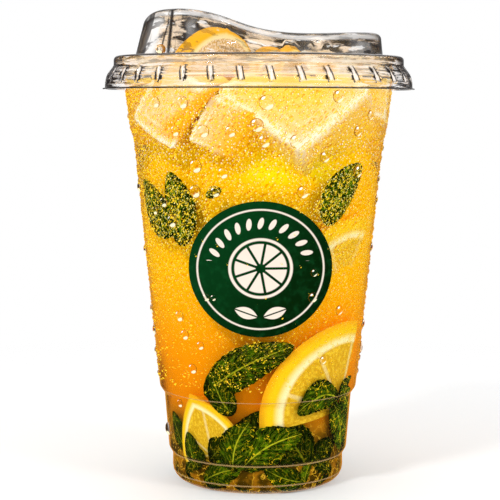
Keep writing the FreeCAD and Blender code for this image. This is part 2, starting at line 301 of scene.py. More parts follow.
class Shader:
    """The node tree of one material."""

    def __init__(self, name):
        self.material = bpy.data.materials.new(name)
        self.material.use_nodes = True
        self.tree = self.material.node_tree
        self.tree.nodes.clear()

    @classmethod
    def of_tree(cls, tree):
        """The same helper for a tree that isn't a material's."""
        shader = cls.__new__(cls)
        shader.tree = tree
        tree.nodes.clear()
        return shader

    def add(self, kind, settings=None, inputs=()):
        """Adds a node with its settings, then the values or links of its sockets. Gives its first output."""
        node = self.tree.nodes.new(kind)
        for key, value in (settings or {}).items():
            if key == "stops":
                self.set_stops(node.color_ramp, value)
            else:
                setattr(node, key, value)
        pairs = inputs.items() if isinstance(inputs, dict) else enumerate(inputs)
        for key, value in pairs:
            if isinstance(value, Socket):
                self.tree.links.new(value.output, node.inputs[key])
            else:
                node.inputs[key].default_value = value
        shown = [output for output in node.outputs if output.enabled]
        return Socket(self, shown[0]) if shown else None

    @staticmethod
    def set_stops(ramp, stops):
        """Places a ramp's stops: (position, colour)."""
        while len(ramp.elements) > 1:
            ramp.elements.remove(ramp.elements[-1])
        ramp.elements[0].position = stops[0][0]
        ramp.elements[0].color = (*stops[0][1], 1.0)
        for position, colour in stops[1:]:
            ramp.elements.new(position).color = (*colour, 1.0)

    def place(self):
        """The point on the object, with X, Y and Z as values too."""
        point = self.add("ShaderNodeTexCoord").out("Object")
        parts = self.add("ShaderNodeSeparateXYZ", inputs=(point,))
        return point, parts.out("X"), parts.out("Y"), parts.out("Z")

    def uv(self):
        """The UV map's point, with U and V as values too."""
        point = self.add("ShaderNodeTexCoord").out("UV")
        parts = self.add("ShaderNodeSeparateXYZ", inputs=(point,))
        return point, parts.out("X"), parts.out("Y")

    def noted(self, name):
        """A number that the mesh keeps at its points."""
        return self.add("ShaderNodeAttribute", {"attribute_name": name}).out("Fac")

    def grazing(self):
        """0 where a sheet faces the eye and 1 at its edge, for the painted darker edge of clear sheet."""
        return self.add("ShaderNodeLayerWeight", inputs={"Blend": 0.5}).out("Facing")

    def seen_from_behind(self):
        """1 where the inner side of a face is seen."""
        return self.add("ShaderNodeNewGeometry").out("Backfacing")

    def scaled(self, point, scale):
        """A point stretched by a factor for each axis."""
        return self.add("ShaderNodeVectorMath", {"operation": "MULTIPLY"}, (point, scale))

    def combine(self, x, y, z):
        """Three values as one point."""
        return self.add("ShaderNodeCombineXYZ", inputs=(x, y, z))

    def noise(self, point, scale, detail=2.0, roughness=0.5):
        """Soft noise from 0 to 1."""
        return self.add("ShaderNodeTexNoise", inputs={
            "Vector": point, "Scale": scale, "Detail": detail, "Roughness": roughness})

    def mix(self, share, first, second):
        """A colour between two others."""
        colours = [(*c, 1.0) if isinstance(c, (tuple, list)) or hasattr(c, "foreach_get") else c
                   for c in (first, second)]
        inputs = {0: share, 6: colours[0], 7: colours[1]}
        return self.add("ShaderNodeMix", {"data_type": "RGBA"}, inputs).out_colour()

    def ramp(self, value, stops):
        """A colour from a value through stops."""
        return self.add("ShaderNodeValToRGB", {"stops": stops}, {"Fac": value})

    def bump(self, height, strength, distance):
        """A bump normal from a height."""
        inputs = {"Strength": strength, "Distance": distance, "Height": height}
        return self.add("ShaderNodeBump", inputs=inputs)

    def surface(self, **sockets):
        """A Principled surface. An underscore in a name stands for a space."""
        inputs = {}
        for key, value in sockets.items():
            if isinstance(value, (tuple, list)) and len(value) == 3 or hasattr(value, "hsv"):
                value = (*value, 1.0)
            inputs[key.replace("_", " ")] = value
        return self.add("ShaderNodeBsdfPrincipled", inputs=inputs)

    def blend(self, share, first, second):
        """A surface between two others."""
        return self.add("ShaderNodeMixShader", inputs=(share, first, second))

    def lets_lamps_in(self, surface):
        """The same surface, but clear for soft light and for the rays that look for the lamps."""
        path = self.add("ShaderNodeLightPath")
        ray = path.out("Is Shadow Ray").most(path.out("Is Diffuse Ray"))
        clear = self.add("ShaderNodeBsdfTransparent")
        return self.blend(ray, surface, clear)

    def finish(self, surface):
        """Makes surface the material's own and gives the material."""
        self.add("ShaderNodeOutputMaterial", inputs={"Surface": surface})
        return self.material


def settings(name):
    """One group of the scene's settings."""
    return getattr(bpy.context.scene, "drink_" + name)


def rgb(colour):
    """A colour setting as plain numbers."""
    return tuple(float(c) for c in colour)


# ---------------------------------------------------------------------------------------------------
# Modelling helpers
# ---------------------------------------------------------------------------------------------------

def start():
    """Nothing selected, and in object mode."""
    if bpy.context.object and bpy.context.object.mode != "OBJECT":
        bpy.ops.object.mode_set(mode="OBJECT")
    bpy.ops.object.select_all(action="DESELECT")


def choose(piece):
    """Only this piece selected and active."""
    start()
    piece.select_set(True)
    bpy.context.view_layer.objects.active = piece


def editing():
    """Edit mode with all selected."""
    bpy.ops.object.mode_set(mode="EDIT")
    bpy.ops.mesh.select_all(action="SELECT")


def clean(piece):
    """Doubles merged, normals outward."""
    choose(piece)
    editing()
    bpy.ops.mesh.remove_doubles(threshold=0.002 * MM)
    bpy.ops.mesh.normals_make_consistent(inside=False)
    bpy.ops.object.mode_set(mode="OBJECT")


def rounded(corners, steps=5):
    """Points (radius, height) through corners (radius, height, rounding), each rounded one by an arc."""
    points = []
    for i, (radius, height, rounding) in enumerate(corners):
        corner = Vector((radius, height))
        if rounding <= 0 or i in (0, len(corners) - 1):
            points.append(corner)
            continue
        before = (Vector(corners[i - 1][:2]) - corner).normalized()
        after = (Vector(corners[i + 1][:2]) - corner).normalized()
        half = before.angle(after) / 2
        reach = rounding / math.tan(half)
        centre = corner + (before + after).normalized() * rounding / math.sin(half)
        first = corner + before * reach - centre
        turn = (corner + after * reach - centre).angle_signed(first)
        for k in range(steps + 1):
            points.append(centre + Matrix.Rotation(turn * k / steps, 2) @ first)
    return points


def lathe(name, outline, steps=128):
    """A surface turned about the Z axis from points (radius, height) in millimetres."""
    start()
    bpy.ops.mesh.primitive_plane_add(size=MM)
    piece = bpy.context.object
    piece.name = name
    editing()
    bpy.ops.mesh.merge(type="CENTER")
    place = Vector((0.0, 0.0, 0.0))
    for k, (radius, height) in enumerate(outline):
        move = Vector((radius, 0.0, height)) * MM - place
        place += move
        if k == 0:
            bpy.ops.transform.translate(value=move)
        else:
            bpy.ops.mesh.extrude_region_move(TRANSFORM_OT_translate={"value": move})
    bpy.ops.mesh.select_all(action="SELECT")
    bpy.ops.mesh.spin(steps=steps, angle=2 * math.pi, center=(0, 0, 0), axis=(0, 0, 1))
    bpy.ops.object.mode_set(mode="OBJECT")
    clean(piece)
    return piece


def note(piece, name, values, domain="POINT"):
    """Keeps a number for each point of the mesh under a name."""
    piece.data.attributes.new(name, "FLOAT", domain).data.foreach_set("value", values)


def apply(piece, kind, **values):
    """Adds a modifier, sets its values and applies it."""
    modifier = piece.modifiers.new(kind.lower(), kind)
    for key, value in values.items():
        setattr(modifier, key, value)
    choose(piece)
    bpy.ops.object.modifier_apply(modifier=modifier.name)


def mark_outer(piece, height):
    """Notes at each point whether it is on the outer skin, seen from the axis at a height."""
    outer = [float(v.normal.dot(v.co - Vector((0.0, 0.0, height))) > 0) for v in piece.data.vertices]
    note(piece, "outer", outer)


def finish(piece, material, angle=35.0):
    """The piece's material, smooth shading and body."""
    choose(piece)
    piece.data.materials.clear()
    piece.data.materials.append(material)
    bpy.ops.object.shade_smooth_by_angle(angle=math.radians(angle))
    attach(piece, BODY)
    return piece


def join(pieces, name):
    """Several pieces as one."""
    start()
    for piece in pieces:
        piece.select_set(True)
    bpy.context.view_layer.objects.active = pieces[0]
    if len(pieces) > 1:
        bpy.ops.object.join()
    pieces[0].name = name
    return pieces[0]


def wall_radius(height):
    """The tumbler's outer radius at a height, both in metres, for numbers or arrays."""
    radii = np.array([corner[0] for corner in OUTSIDE] + [MOUTH_RADIUS]) * MM
    heights = np.array([corner[1] for corner in OUTSIDE] + [RIM_TOP]) * MM
    return np.interp(height, heights, radii)


def behind_wall(along, height, depth):
    """Points at a distance along the wall from the front, a height, and a depth under the outside."""
    radius = wall_radius(height)
    angle = along / radius
    return np.stack(((radius - depth) * np.sin(angle), -(radius - depth) * np.cos(angle), height), axis=-1)


def around(degrees, height):
    """Distance along the wall from the front to a direction, at a height."""
    return math.radians(degrees) * float(wall_radius(height))


# ---------------------------------------------------------------------------------------------------
# Materials
# ---------------------------------------------------------------------------------------------------

def juice_colour(shader, point, height):
    """The juice's colour by height, with soft drifts, painted shade and painted glints at the foot, and two
    painted bright patches of light under the ice.
    """
    juice = settings("juice")
    drift = shader.noise(shader.scaled(point, (1.0, 1.0, 0.5)), 45.0, 2.0) - 0.5
    share = (height + drift * 0.008) / 0.145
    stops = [
        (0.02, rgb(juice.foot)), (0.14, rgb(juice.foot)), (0.21, rgb(juice.low)), (0.34, rgb(juice.orange)),
        (0.52, rgb(juice.gold)), (0.70, rgb(juice.amber)), (0.78, rgb(juice.bright)), (0.88, rgb(juice.pale)),
        (1.0, rgb(juice.pale)),
    ]
    colour = shader.ramp(share, stops)
    # Painted shade in dark patches at the foot, then painted golden glints there.
    murk = shader.noise(point, 170.0, 3.0).step(0.42, 0.56) * (1.0 - height.step(0.010, 0.028))
    colour = shader.mix(murk * 0.85, colour, rgb(juice.murk))
    fleck = (shader.noise(point, 330.0, 2.0) - 0.5).line(0.004, 0.024)
    colour = shader.mix(fleck * (1.0 - height.step(0.012, 0.030)) * 0.75, colour, rgb(juice.fleck))
    # Two painted pools of light under the ice.
    flat = shader.scaled(point, (1.0, 1.0, 1.8))
    for centre, radius in (((0.0225, -0.0285, 0.1930), 0.013), ((0.0045, -0.036, 0.1930), 0.016)):
        gap = shader.add("ShaderNodeVectorMath", {"operation": "DISTANCE"}, (flat, centre)).out("Value")
        colour = shader.mix(1.0 - gap.step(0.004, radius), colour, rgb(juice.painted_glow))
    return colour


def sunk_depth(x, y, height):
    """How far a point lies under the tumbler's outside."""
    radius = x.hypot(y)
    low = height < SHOULDER
    upper = UPPER_WALL[0] + height * UPPER_WALL[1]
    lower = LOWER_WALL[0] + height * LOWER_WALL[1]
    return upper + low * (lower - upper) - radius


def in_juice(shader, own, point, x, y, height, near=0.0006, most=0.85):
    """A sunk piece's own colour, fading into the juice with its depth."""
    depth = sunk_depth(x, y, height)
    share = depth.step(near, settings("juice").haze_and_painted_sheen) * most * (height < LEVEL)
    return shader.mix(share, own, juice_colour(shader, point, height))


def around_axis(x, y):
    """The level directions away from the axis and sideways, as values."""
    radius = x.hypot(y)
    return (x / radius, y / radius), (0.0 - y / radius, x / radius)


def dew_paint(shader, point, side, scale, wet):
    """Shares of light and shade that draw packed small drops, one in each cell of a scattered pattern."""
    cell = shader.add("ShaderNodeTexVoronoi", inputs={"Vector": point, "Scale": scale})
    gap = shader.add("ShaderNodeVectorMath", {"operation": "SUBTRACT"}, (point, cell.out("Position")))
    parts = shader.add("ShaderNodeSeparateXYZ", inputs=(gap,))
    right = (parts.out("X") * side[0] + parts.out("Y") * side[1]) * scale
    up = parts.out("Z") * scale
    drop = 1.0 - cell.step(0.40, 0.50)
    chosen = cell.out("Color") > 0.42
    rim = cell.step(0.08, 0.20) * drop
    slant = right * 0.7 - up * 0.7
    light = rim * slant.step(0.12, 0.20) * wet
    shade = rim * (0.0 - slant).step(0.05, 0.13) * wet
    spot = (right + 0.10) * (right + 0.10) + (up - 0.12) * (up - 0.12)
    glint = (1.0 - spot.step(0.010, 0.030)) * chosen * wet
    return light, shade, glint


def clear_sheet(name, ior, bump):
    """Clear sheet with fine dew outside drawn in painted highlights and painted shade, a wet film over the
    level, a painted highlight line at each step, a painted dark line by the lower step and a painted dark
    edge where it turns from the eye.
    """
    shader = Shader(name)
    point, x, y, height = shader.place()
    outer = shader.noted("outer")
    _, side = around_axis(x, y)
    coarse = shader.noise(point, 260.0)
    spread = coarse.step(0.30, 0.60)
    wet = outer * height.step(0.040, 0.092) * (height < LID_FOOT) * (height > 0.012)
    light, shade, glint = dew_paint(shader, point, side, 540.0, wet * spread)
    finer = dew_paint(shader, point, side, 820.0, wet * (1.0 - spread * 0.4))
    light, shade = light.most(finer[0]), shade.most(finer[1])
    glint = glint.most(finer[2])
    clear = shader.surface(
        Base_Color=(1.0, 1.0, 1.0), Roughness=0.03, IOR=ior, Transmission_Weight=1.0,
        Normal=shader.bump(light - shade, bump, 0.0003))
    # Painted shade on the drops in a deeper amber clear sheet, then painted cream highlights and painted
    # glints, whiter near the ice.
    amber = shader.surface(
        Base_Color=(0.78, 0.26, 0.003), Roughness=0.03, IOR=ior, Transmission_Weight=1.0)
    cream = shader.surface(Base_Color=(1.0, 0.67, 0.02), Roughness=0.5, Specular_IOR_Level=0.0)
    sparkle = shader.mix(height.step(0.100, 0.115), (1.0, 0.88, 0.26), (1.0, 0.95, 0.60))
    white = shader.surface(Base_Color=sparkle, Roughness=0.5, Specular_IOR_Level=0.0)
    surface = shader.blend(shade * 0.90, clear, amber)
    surface = shader.blend(light * 0.85, surface, cream)
    surface = shader.blend(glint * 0.95, surface, white)

    film = (height > LEVEL + 0.3 * MM) * (1.0 - outer) * (height < 0.1425)
    splash = shader.noise(point, 210.0, 3.0).step(0.38, 0.62)
    film_colour = shader.mix(splash, (0.80, 0.44, 0.10), (0.98, 0.78, 0.46))
    film_light = shader.surface(Base_Color=film_colour, Roughness=0.3)
    surface = shader.blend(film * 0.5, surface, film_light)

    # Painted highlight lines at the steps and a painted dark line by the lower step.
    line = None
    for middle, half in PAINTED_STEP_LINES:
        mark = (height - middle).line(half * 0.6, half * 1.6)
        line = mark if line is None else line.most(mark)
    under = (height - PAINTED_DARK_LINE).line(0.0001, 0.0004)
    lit = shader.surface(Base_Color=(0.74, 0.46, 0.18), Roughness=0.3)
    dark = shader.surface(Base_Color=(0.05, 0.025, 0.006), Roughness=0.3)
    surface = shader.blend(outer * line * 0.45, shader.blend(outer * under * 0.5, surface, dark), lit)
    # Painted dark edge where the sheet turns away from the eye.
    grazing = shader.grazing()
    contour = shader.surface(Base_Color=(0.60, 0.24, 0.004), Roughness=0.5, Specular_IOR_Level=0.0)
    surface = shader.blend(grazing.step(0.76, 0.90) * outer * 0.85, surface, contour)
    return shader.finish(shader.lets_lamps_in(surface))


def lid_material():
    """Clear sheet with painted reflections: dark ones and pale streaks on the far side, pale bands on the
    near one, a pale sheen on the skirt.
    """
    tumbler = settings("tumbler")
    shader = Shader("lid sheet")
    _, x, y, height = shader.place()
    below = shader.noted("below")
    outer = shader.noted("outer")
    away = shader.seen_from_behind()
    near = outer * (1.0 - away)
    far = outer * away
    radius = x.hypot(y)
    turn = y.math("ARCTAN2", x)
    raised = height.step(LID_PLATE, LID_PLATE + 0.6 * MM)
    clear = shader.surface(
        Base_Color=(1.0, 1.0, 1.0), Roughness=0.02, IOR=tumbler.lid_ior, Transmission_Weight=1.0)

    # Painted dark reflection on the far side of the raised top, with painted pale streaks that follow its
    # upper edge.
    swept = shader.combine(turn * 0.010, below, 0.0)
    streaks = shader.noise(swept, 330.0, 3.0, 0.6)
    patches = shader.noise(shader.combine(turn * 0.02, below * 0.5, 0.4), 120.0, 2.0)
    tone = (streaks * 0.65 + patches * 0.35).step(0.50, 0.57)
    gloomy = raised * (0.70 + 0.28 * patches.step(0.34, 0.50))
    far_share = far * gloomy.most((1.0 - raised) * (0.15 + 0.55 * (1.0 - height.step(0.1340, 0.1372))))
    painted_far_reflection = shader.mix(tone, rgb(tumbler.painted_dark_reflection), rgb(tumbler.streak))
    painted_dark_reflection = shader.surface(Base_Color=painted_far_reflection, Roughness=0.3)

    # Painted pale reflections on the near side: along the upper edge and over the spout's wall.
    spout = (1.0 - (x + 0.0270).step(-0.0015, 0.0015)) * raised
    fold = (x + 0.0278 + below * 0.10).line(0.0002, 0.0010)
    upper = (below - 0.0016).line(0.0003, 0.0011) * 0.50
    lower = streaks.step(0.58, 0.64) * 0.60
    beam = (turn + 2.74).line(0.04, 0.16)
    spout_light = spout * (0.20 * patches.step(0.42, 0.60)).most(beam * below.step(0.002, 0.004) * 0.85)
    near_share = near * raised * upper.most(lower).most(spout_light)
    pale = shader.surface(Base_Color=(1.0, 0.98, 0.96), Roughness=0.3)
    # Painted dark reflections on the near side: a line along the upper edge, one along the spout's fold and
    # dark streaks, more of them towards the edges.
    grazing = shader.grazing()
    gloom = (1.0 - streaks.step(0.41, 0.46)) * (0.35 + 0.60 * grazing.step(0.2, 0.7))
    bands = shader.noise(shader.combine(turn * 0.03, below * 0.12, 2.0), 300.0, 2.0)
    gloom = gloom.most(spout * bands.step(0.50, 0.56) * 0.85)
    dark_share = near * raised * (
        (below - 0.0002).line(0.0001, 0.0005).most(fold * (y < 0.0)).most(gloom)) * 0.97
    dark = shader.surface(Base_Color=rgb(tumbler.painted_dark_reflection), Roughness=0.3)

    # The skirt: a painted pale sheen with level lines, a painted bright and dark mark at each lug, painted
    # dark lines at its rims and painted streaks, darker towards the edges.
    skirt = (1.0 - raised) * near
    level_lines = ((height * 2600.0).math("SINE") * 0.5 + 0.5).step(0.55, 0.95)
    bright_lines = (height - 0.1368).line(0.0002, 0.0006).most((height - 0.1412).line(0.0003, 0.0010) * 0.6)
    lug = ((turn / (2 * math.pi) + LUG_FIRST / 360.0) * LUGS + (LUGS + 0.25)).math("FRACT") - 0.25
    span = height.step(0.1345, 0.1352) * (1.0 - height.step(0.1388, 0.1396))
    slant = lug + (height - 0.137) * 25.0
    lug_dark = (abs(slant) - 0.10).line(0.012, 0.035) * span
    lug_dark = lug_dark.most((abs(slant) - 0.15).line(0.03, 0.07) * span * grazing.step(0.3, 0.6))
    lug_light = (slant - 0.01).line(0.04, 0.08) * span
    rims = (height - 0.1326).line(0.0001, 0.0004).most((height - 0.1429).line(0.0001, 0.0004))
    painted_streaks = shader.noise(shader.combine(turn * 0.005, height - radius * 0.6, 0.7), 900.0, 3.0, 0.65)
    side = grazing.step(0.25, 0.75)
    painted_streaks_light = painted_streaks.step(0.53, 0.57) * (0.40 + 0.50 * side)
    ledge = height.step(0.1398, 0.1408) * 0.45
    painted_streaks_dark = (1.0 - painted_streaks.step(0.455, 0.49)) * (0.10 + 0.90 * side).most(ledge)
    painted_sheen_share = skirt * (
        (0.06 + 0.16 * level_lines + 0.32 * bright_lines).most(lug_light * 0.80).most(painted_streaks_light))
    painted_sheen = shader.surface(Base_Color=rgb(tumbler.haze_and_painted_sheen), Roughness=0.3)
    edge_share = skirt * rims.most(lug_dark).most(painted_streaks_dark) * 0.985

    surface = shader.blend(far_share, clear, painted_dark_reflection)
    surface = shader.blend(near_share, surface, pale)
    surface = shader.blend(painted_sheen_share, surface, painted_sheen)
    # Painted dark edge where the sheet turns away from the eye.
    contour = grazing.step(0.62, 0.88) * outer * 0.95
    surface = shader.blend(dark_share.most(edge_share).most(contour), surface, dark)
    return shader.finish(shader.lets_lamps_in(surface))


def juice_material():
    """Clear juice by the wall."""
    juice = settings("juice")
    shader = Shader("clear juice")
    surface = shader.surface(
        Base_Color=rgb(juice.tint), Roughness=0.0, IOR=juice.ior, Transmission_Weight=1.0,
        Specular_Tint=rgb(juice.gold))
    return shader.finish(shader.lets_lamps_in(surface))


def cloud_material():
    """Cloudy juice behind the clear layer."""
    shader = Shader("cloudy juice")
    point, _, _, height = shader.place()
    colour = juice_colour(shader, point, height)
    return shader.finish(shader.surface(Base_Color=colour, Roughness=0.6, Specular_IOR_Level=0.0))


def ice_material():
    """Cloudy ice: painted highlights along its melted edges, painted shade, golden, on the faces turned from
    the light.
    """
    fruit = settings("fruit")
    shader = Shader("cloudy ice")
    point, x, y, height = shader.place()
    _, u, v = shader.uv()
    lit = shader.noted("lit")
    nearest = (0.5 - abs(u - 0.5)).math("MINIMUM", 0.5 - abs(v - 0.5))
    gold = shader.noted("gold").step(0.0, 1.0)
    edge = 1.0 - nearest.step(0.03, 0.15)
    line = (nearest - 0.21).line(0.005, 0.04) * 0.45
    cloud = shader.noise(point, 130.0, 3.0)
    # Painted light and shade by the noted lit share of each face; cloudy patches and a painted highlight line
    # inside each edge show on lit faces only.
    body = shader.mix(lit, rgb(fruit.ice_shade), rgb(fruit.ice))
    body = shader.mix((cloud.step(0.35, 0.75) * 0.28).most(line) * lit, body, rgb(fruit.ice_edge_highlight))
    body = shader.mix(gold, body, rgb(fruit.ice_gold))
    # Painted highlights along the edges, strongest on lit faces.
    own = shader.mix(edge * (0.25 + lit * 0.75) * (1.0 - gold), body, rgb(fruit.ice_edge_highlight))
    colour = in_juice(shader, own, point, x, y, height, near=0.002, most=0.9)
    bump = shader.bump(shader.noise(point, 240.0, 2.0), 0.25, 0.0006)
    return shader.finish(shader.surface(
        Base_Color=colour, Roughness=0.25, Specular_IOR_Level=0.1, Normal=bump))


def lemon_material():
    """Rind, pith and radial juice cells, drawn round each slice's own centre."""
    fruit = settings("fruit")
    shader = Shader("lemon")
    point, x, y, height = shader.place()
    uv, u, v = shader.uv()
    across, up = u - 0.5, v - 0.5
    radius = across.hypot(up) * 2.0
    turn = up.math("ARCTAN2", across)
    sector = (turn / (2 * math.pi) * 9.0 + 9.0 + 0.5).math("FRACT") - 0.5
    membrane = (sector * radius).line(0.012, 0.045)
    cell = shader.noise(shader.combine(turn * 3.0, radius * 3.2, 0.0), 5.0, 3.0, 0.6)
    fine = shader.noise(uv, 60.0, 2.0)
    pulp = shader.mix((cell * 0.75 + fine * 0.25).step(0.42, 0.64), rgb(fruit.pulp), rgb(fruit.pulp_light))
    pulp = shader.mix(membrane.most(1.0 - radius.step(0.02, 0.08)) * 0.45, pulp, rgb(fruit.pith))
    dry = shader.noted("dry")
    dry_share = dry * 0.7
    dry_pulp = shader.mix(fine.step(0.42, 0.58), (0.62, 0.44, 0.20), (1.0, 0.94, 0.86))
    pulp = shader.mix(dry_share, pulp, dry_pulp)
    share = radius - dry * 0.10
    inside = shader.mix(share.step(0.745, 0.785), pulp, rgb(fruit.pith))
    own = shader.mix(share.step(0.79, 0.88), inside, rgb(fruit.rind))
    own = shader.mix(radius.step(0.90, 1.0) * (1.0 - dry) * 0.65, own, juice_colour(shader, point, height))
    own = shader.mix(dry * radius.step(0.93, 0.98) * 0.8, own, (0.90, 0.38, 0.012))
    colour = in_juice(shader, own, point, x, y, height, near=0.002, most=0.8)
    relief = cell * (radius < 0.8) + shader.noise(point, 900.0, 1.0) * (radius > 0.9) * 0.4
    bump = shader.bump(relief, 0.5, 0.0006)
    return shader.finish(shader.surface(
        Base_Color=colour, Roughness=0.35, Specular_IOR_Level=0.1, Normal=bump))


def mint_material():
    """Mint: a bright midrib and side veins on a mottled blade, with painted shade in the hollows, along the
    margins and at the base, painted light on the raised parts and painted golden glints.
    """
    mint = settings("mint")
    shader = Shader("mint leaf")
    point, x, y, height = shader.place()
    _, u, v = shader.uv()
    tone = shader.noted("tone")
    across = abs(v - 0.5) * 2.0
    midrib = 1.0 - across.step(0.015, 0.06)
    wander = shader.noise(shader.combine(u * 6.0, v * 6.0, tone * 5.0), 2.0, 2.0) - 0.5
    rib = ((u * 8.0 - across * 3.2 + wander * 0.9).math("FRACT") - 0.5)
    side = rib.line(0.02, 0.10)
    mottle = shader.noise(point, 560.0, 3.0, 0.7)
    blotch = shader.noise(point, 190.0, 2.0)
    fleck = (shader.noise(point, 430.0, 2.0) - 0.5).line(0.004, 0.022)
    spark = fleck * shader.noise(point, 700.0).step(0.46, 0.54) * (
        0.4 + shader.noise(point, 120.0).step(0.45, 0.60))
    # Painted shade in the hollows and painted light on the raised parts, between the side veins.
    blade = shader.mix(mottle.step(0.50, 0.64) * (0.35 + tone * 0.65), rgb(mint.dark), rgb(mint.green))
    blade = shader.mix(blotch.step(0.42, 0.62) * mottle.step(0.42, 0.58) * tone, blade, rgb(mint.light))
    blade = shader.mix((abs(rib) - 0.25).line(0.02, 0.16) * (0.15 + tone * 0.45), blade, rgb(mint.light))
    blade = shader.mix(side * mottle.step(0.36, 0.56) * 0.45 * (0.30 + tone * 0.70), blade, rgb(mint.vein))
    blade = shader.mix(midrib * mottle.step(0.26, 0.46) * (0.24 + tone * 0.70), blade, rgb(mint.vein))
    # Painted shade along the margins and at the base of each leaf.
    shadow = across.step(0.60, 1.0).most(1.0 - u.step(0.0, 0.28)) * (1.0 - mottle.step(0.50, 0.62))
    own = shader.mix(shadow * 0.85, blade, rgb(mint.dark))
    # Painted golden glints.
    own = shader.mix(spark * (0.6 + tone * 0.4), own, (0.86, 0.60, 0.010))
    colour = in_juice(shader, own, point, x, y, height, near=0.003, most=0.35)
    relief = mottle * 0.6 + abs(rib) * 1.2
    return shader.finish(shader.surface(
        Base_Color=colour, Roughness=0.6, Specular_IOR_Level=0.0, Normal=shader.bump(relief, 0.6, 0.0006)))


def label_material():
    """Dark green film with a cream ring, a citrus wheel, a row of leaves over it and two leaves under it."""
    look = settings("label")
    low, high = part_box("label")
    middle = (low + high) / 2
    shader = Shader("label film")
    point, x, _, height = shader.place()
    across = (x - middle.x) / look.half_width
    up = (height - middle.z) / look.half_height
    radius = across.hypot(up)
    turn = up.math("ARCTAN2", across)

    def band(value, inner, outer, soft=0.008):
        return value.step(inner - soft, inner + soft) * (1.0 - value.step(outer - soft, outer + soft))

    ring = band(radius, 0.865, 0.890)
    wheel_up = up - 0.02
    wheel = across.hypot(wheel_up)
    spin = wheel_up.math("ARCTAN2", across)
    sector = (spin / (2 * math.pi) * 9.0 + 9.0).math("FRACT") - 0.5
    membrane = (wheel * math.pi / 9.0 - abs(sector) * wheel * (2 * math.pi / 9.0)).step(0.014, 0.024)
    drawn = ring.most(band(wheel, 0.07, 0.36) * membrane).most(band(wheel, 0.405, 0.445))

    # Small leaves in a row over the wheel, and two larger ones under it.
    place = (turn / (2 * math.pi) * 26.0 + 26.0).math("FRACT") - 0.5
    sideways = place * radius * (2 * math.pi / 26.0) + (radius - 0.68) * 0.25
    petal = (sideways * sideways) / 0.0016 + ((radius - 0.68) * (radius - 0.68)) / 0.0072
    drawn = drawn.most((1.0 - petal.step(0.8, 1.1)) * (up > 0.12))
    for side in (-1.0, 1.0):
        lean = math.radians(20.0)
        ax, az = across - side * 0.20, up + 0.64
        along = ax * (side * math.cos(lean)) + az * math.sin(lean)
        aside = az * math.cos(lean) - ax * (side * math.sin(lean))
        leaf = along * along / 0.030 + abs(aside) / 0.085
        drawn = drawn.most((1.0 - leaf.step(0.95, 1.05)) * abs(aside).step(0.006, 0.014))
    mottle = shader.noise(point, 420.0, 3.0)
    # Painted shade: the ground darker towards the lower right.
    ground = shader.mix((across * 0.4 - up * 0.3 + 0.5).step(0.1, 0.9), rgb(look.green), rgb(look.deep))
    ground = shader.mix(mottle.step(0.45, 0.8) * 0.35, ground, (0.004, 0.085, 0.02))
    colour = shader.mix(drawn, ground, rgb(look.cream))
    bump = shader.bump(mottle, 0.15, 0.0002)
    return shader.finish(shader.surface(
        Base_Color=colour, Roughness=0.5, Specular_IOR_Level=0.03, Normal=bump))


def dew_material(name, strength, ior, tint, painted_glow, spark):
    """Clear water with painted light: a painted glint up left, a painted bright crescent down right, a
    painted dark arc above and a painted dark ring round its edge.
    """
    shader = Shader(name)
    _, x, y, _ = shader.place()
    away, sideways = around_axis(x, y)
    normal = shader.add("ShaderNodeSeparateXYZ", inputs=(shader.add("ShaderNodeNewGeometry").out("Normal"),))
    out = normal.out("X") * away[0] + normal.out("Y") * away[1]
    side = normal.out("X") * sideways[0] + normal.out("Y") * sideways[1]
    up = normal.out("Z")

    def facing(outwards, upwards, rightwards, low, high):
        return (out * outwards + up * upwards + side * rightwards).step(low, high)

    front = 1.0 - shader.seen_from_behind()
    water = shader.surface(
        Base_Color=tint, Roughness=0.0, IOR=ior, Transmission_Weight=1.0,
        Specular_IOR_Level=0.5 * strength)
    bright = shader.surface(
        Base_Color=painted_glow, Roughness=0.5, Specular_IOR_Level=0.0, Emission_Color=painted_glow, Emission_Strength=0.15)
    dark = shader.surface(Base_Color=(0.36, 0.13, 0.006), Roughness=0.5, Specular_IOR_Level=0.0)
    glint = shader.surface(Base_Color=spark, Roughness=0.3, Emission_Color=spark, Emission_Strength=0.3)
    # Painted shade and light by the normal's turn, as if from a fixed light up left.
    ring = 1.0 - out.step(0.30, 0.66)
    arc = facing(0.42, 0.66, -0.62, 0.78, 0.94)
    surface = shader.blend((ring * 0.85).most(arc * 0.85) * front * strength, water, dark)
    surface = shader.blend(facing(0.68, -0.66, 0.32, 0.84, 0.93) * front * 0.95, surface, bright)
    surface = shader.blend(facing(0.86, 0.38, -0.34, 0.970, 0.990) * front * strength, surface, glint)
    return shader.finish(shader.lets_lamps_in(surface))


# ---------------------------------------------------------------------------------------------------
# Shapes
# ---------------------------------------------------------------------------------------------------

def inset(corners, by):
    """Corners moved inwards, with their rounding kept concentric."""
    return [(radius - by, max(height, by), max(rounding - by, 0.0)) for radius, height, rounding in corners]


def raised_punt(by):
    """The hollow under the foot, moved up into the tumbler."""
    return [(radius + by / 2 * (radius > 0), height + by, rounding) for radius, height, rounding in PUNT]


def tumbler_outline():
    """The whole section of the thin wall, from the axis outside to the axis inside."""
    inner_punt = raised_punt(WALL)
    rim = [
        (MOUTH_RADIUS, RIM_TOP - WALL, 0.4), (RIM_RADIUS - WALL, RIM_TOP - WALL, 0.4),
        (RIM_RADIUS - WALL, RIM_TOP - RIM_DROP, 0.15), (RIM_RADIUS, RIM_TOP - RIM_DROP, 0.15),
        (RIM_RADIUS, RIM_TOP, 1.3), (MOUTH_RADIUS - WALL, RIM_TOP, 0.9),
    ]
    inside = inner_punt + inset(OUTSIDE, WALL)
    return rounded(list(PUNT) + list(OUTSIDE) + rim + inside[::-1])


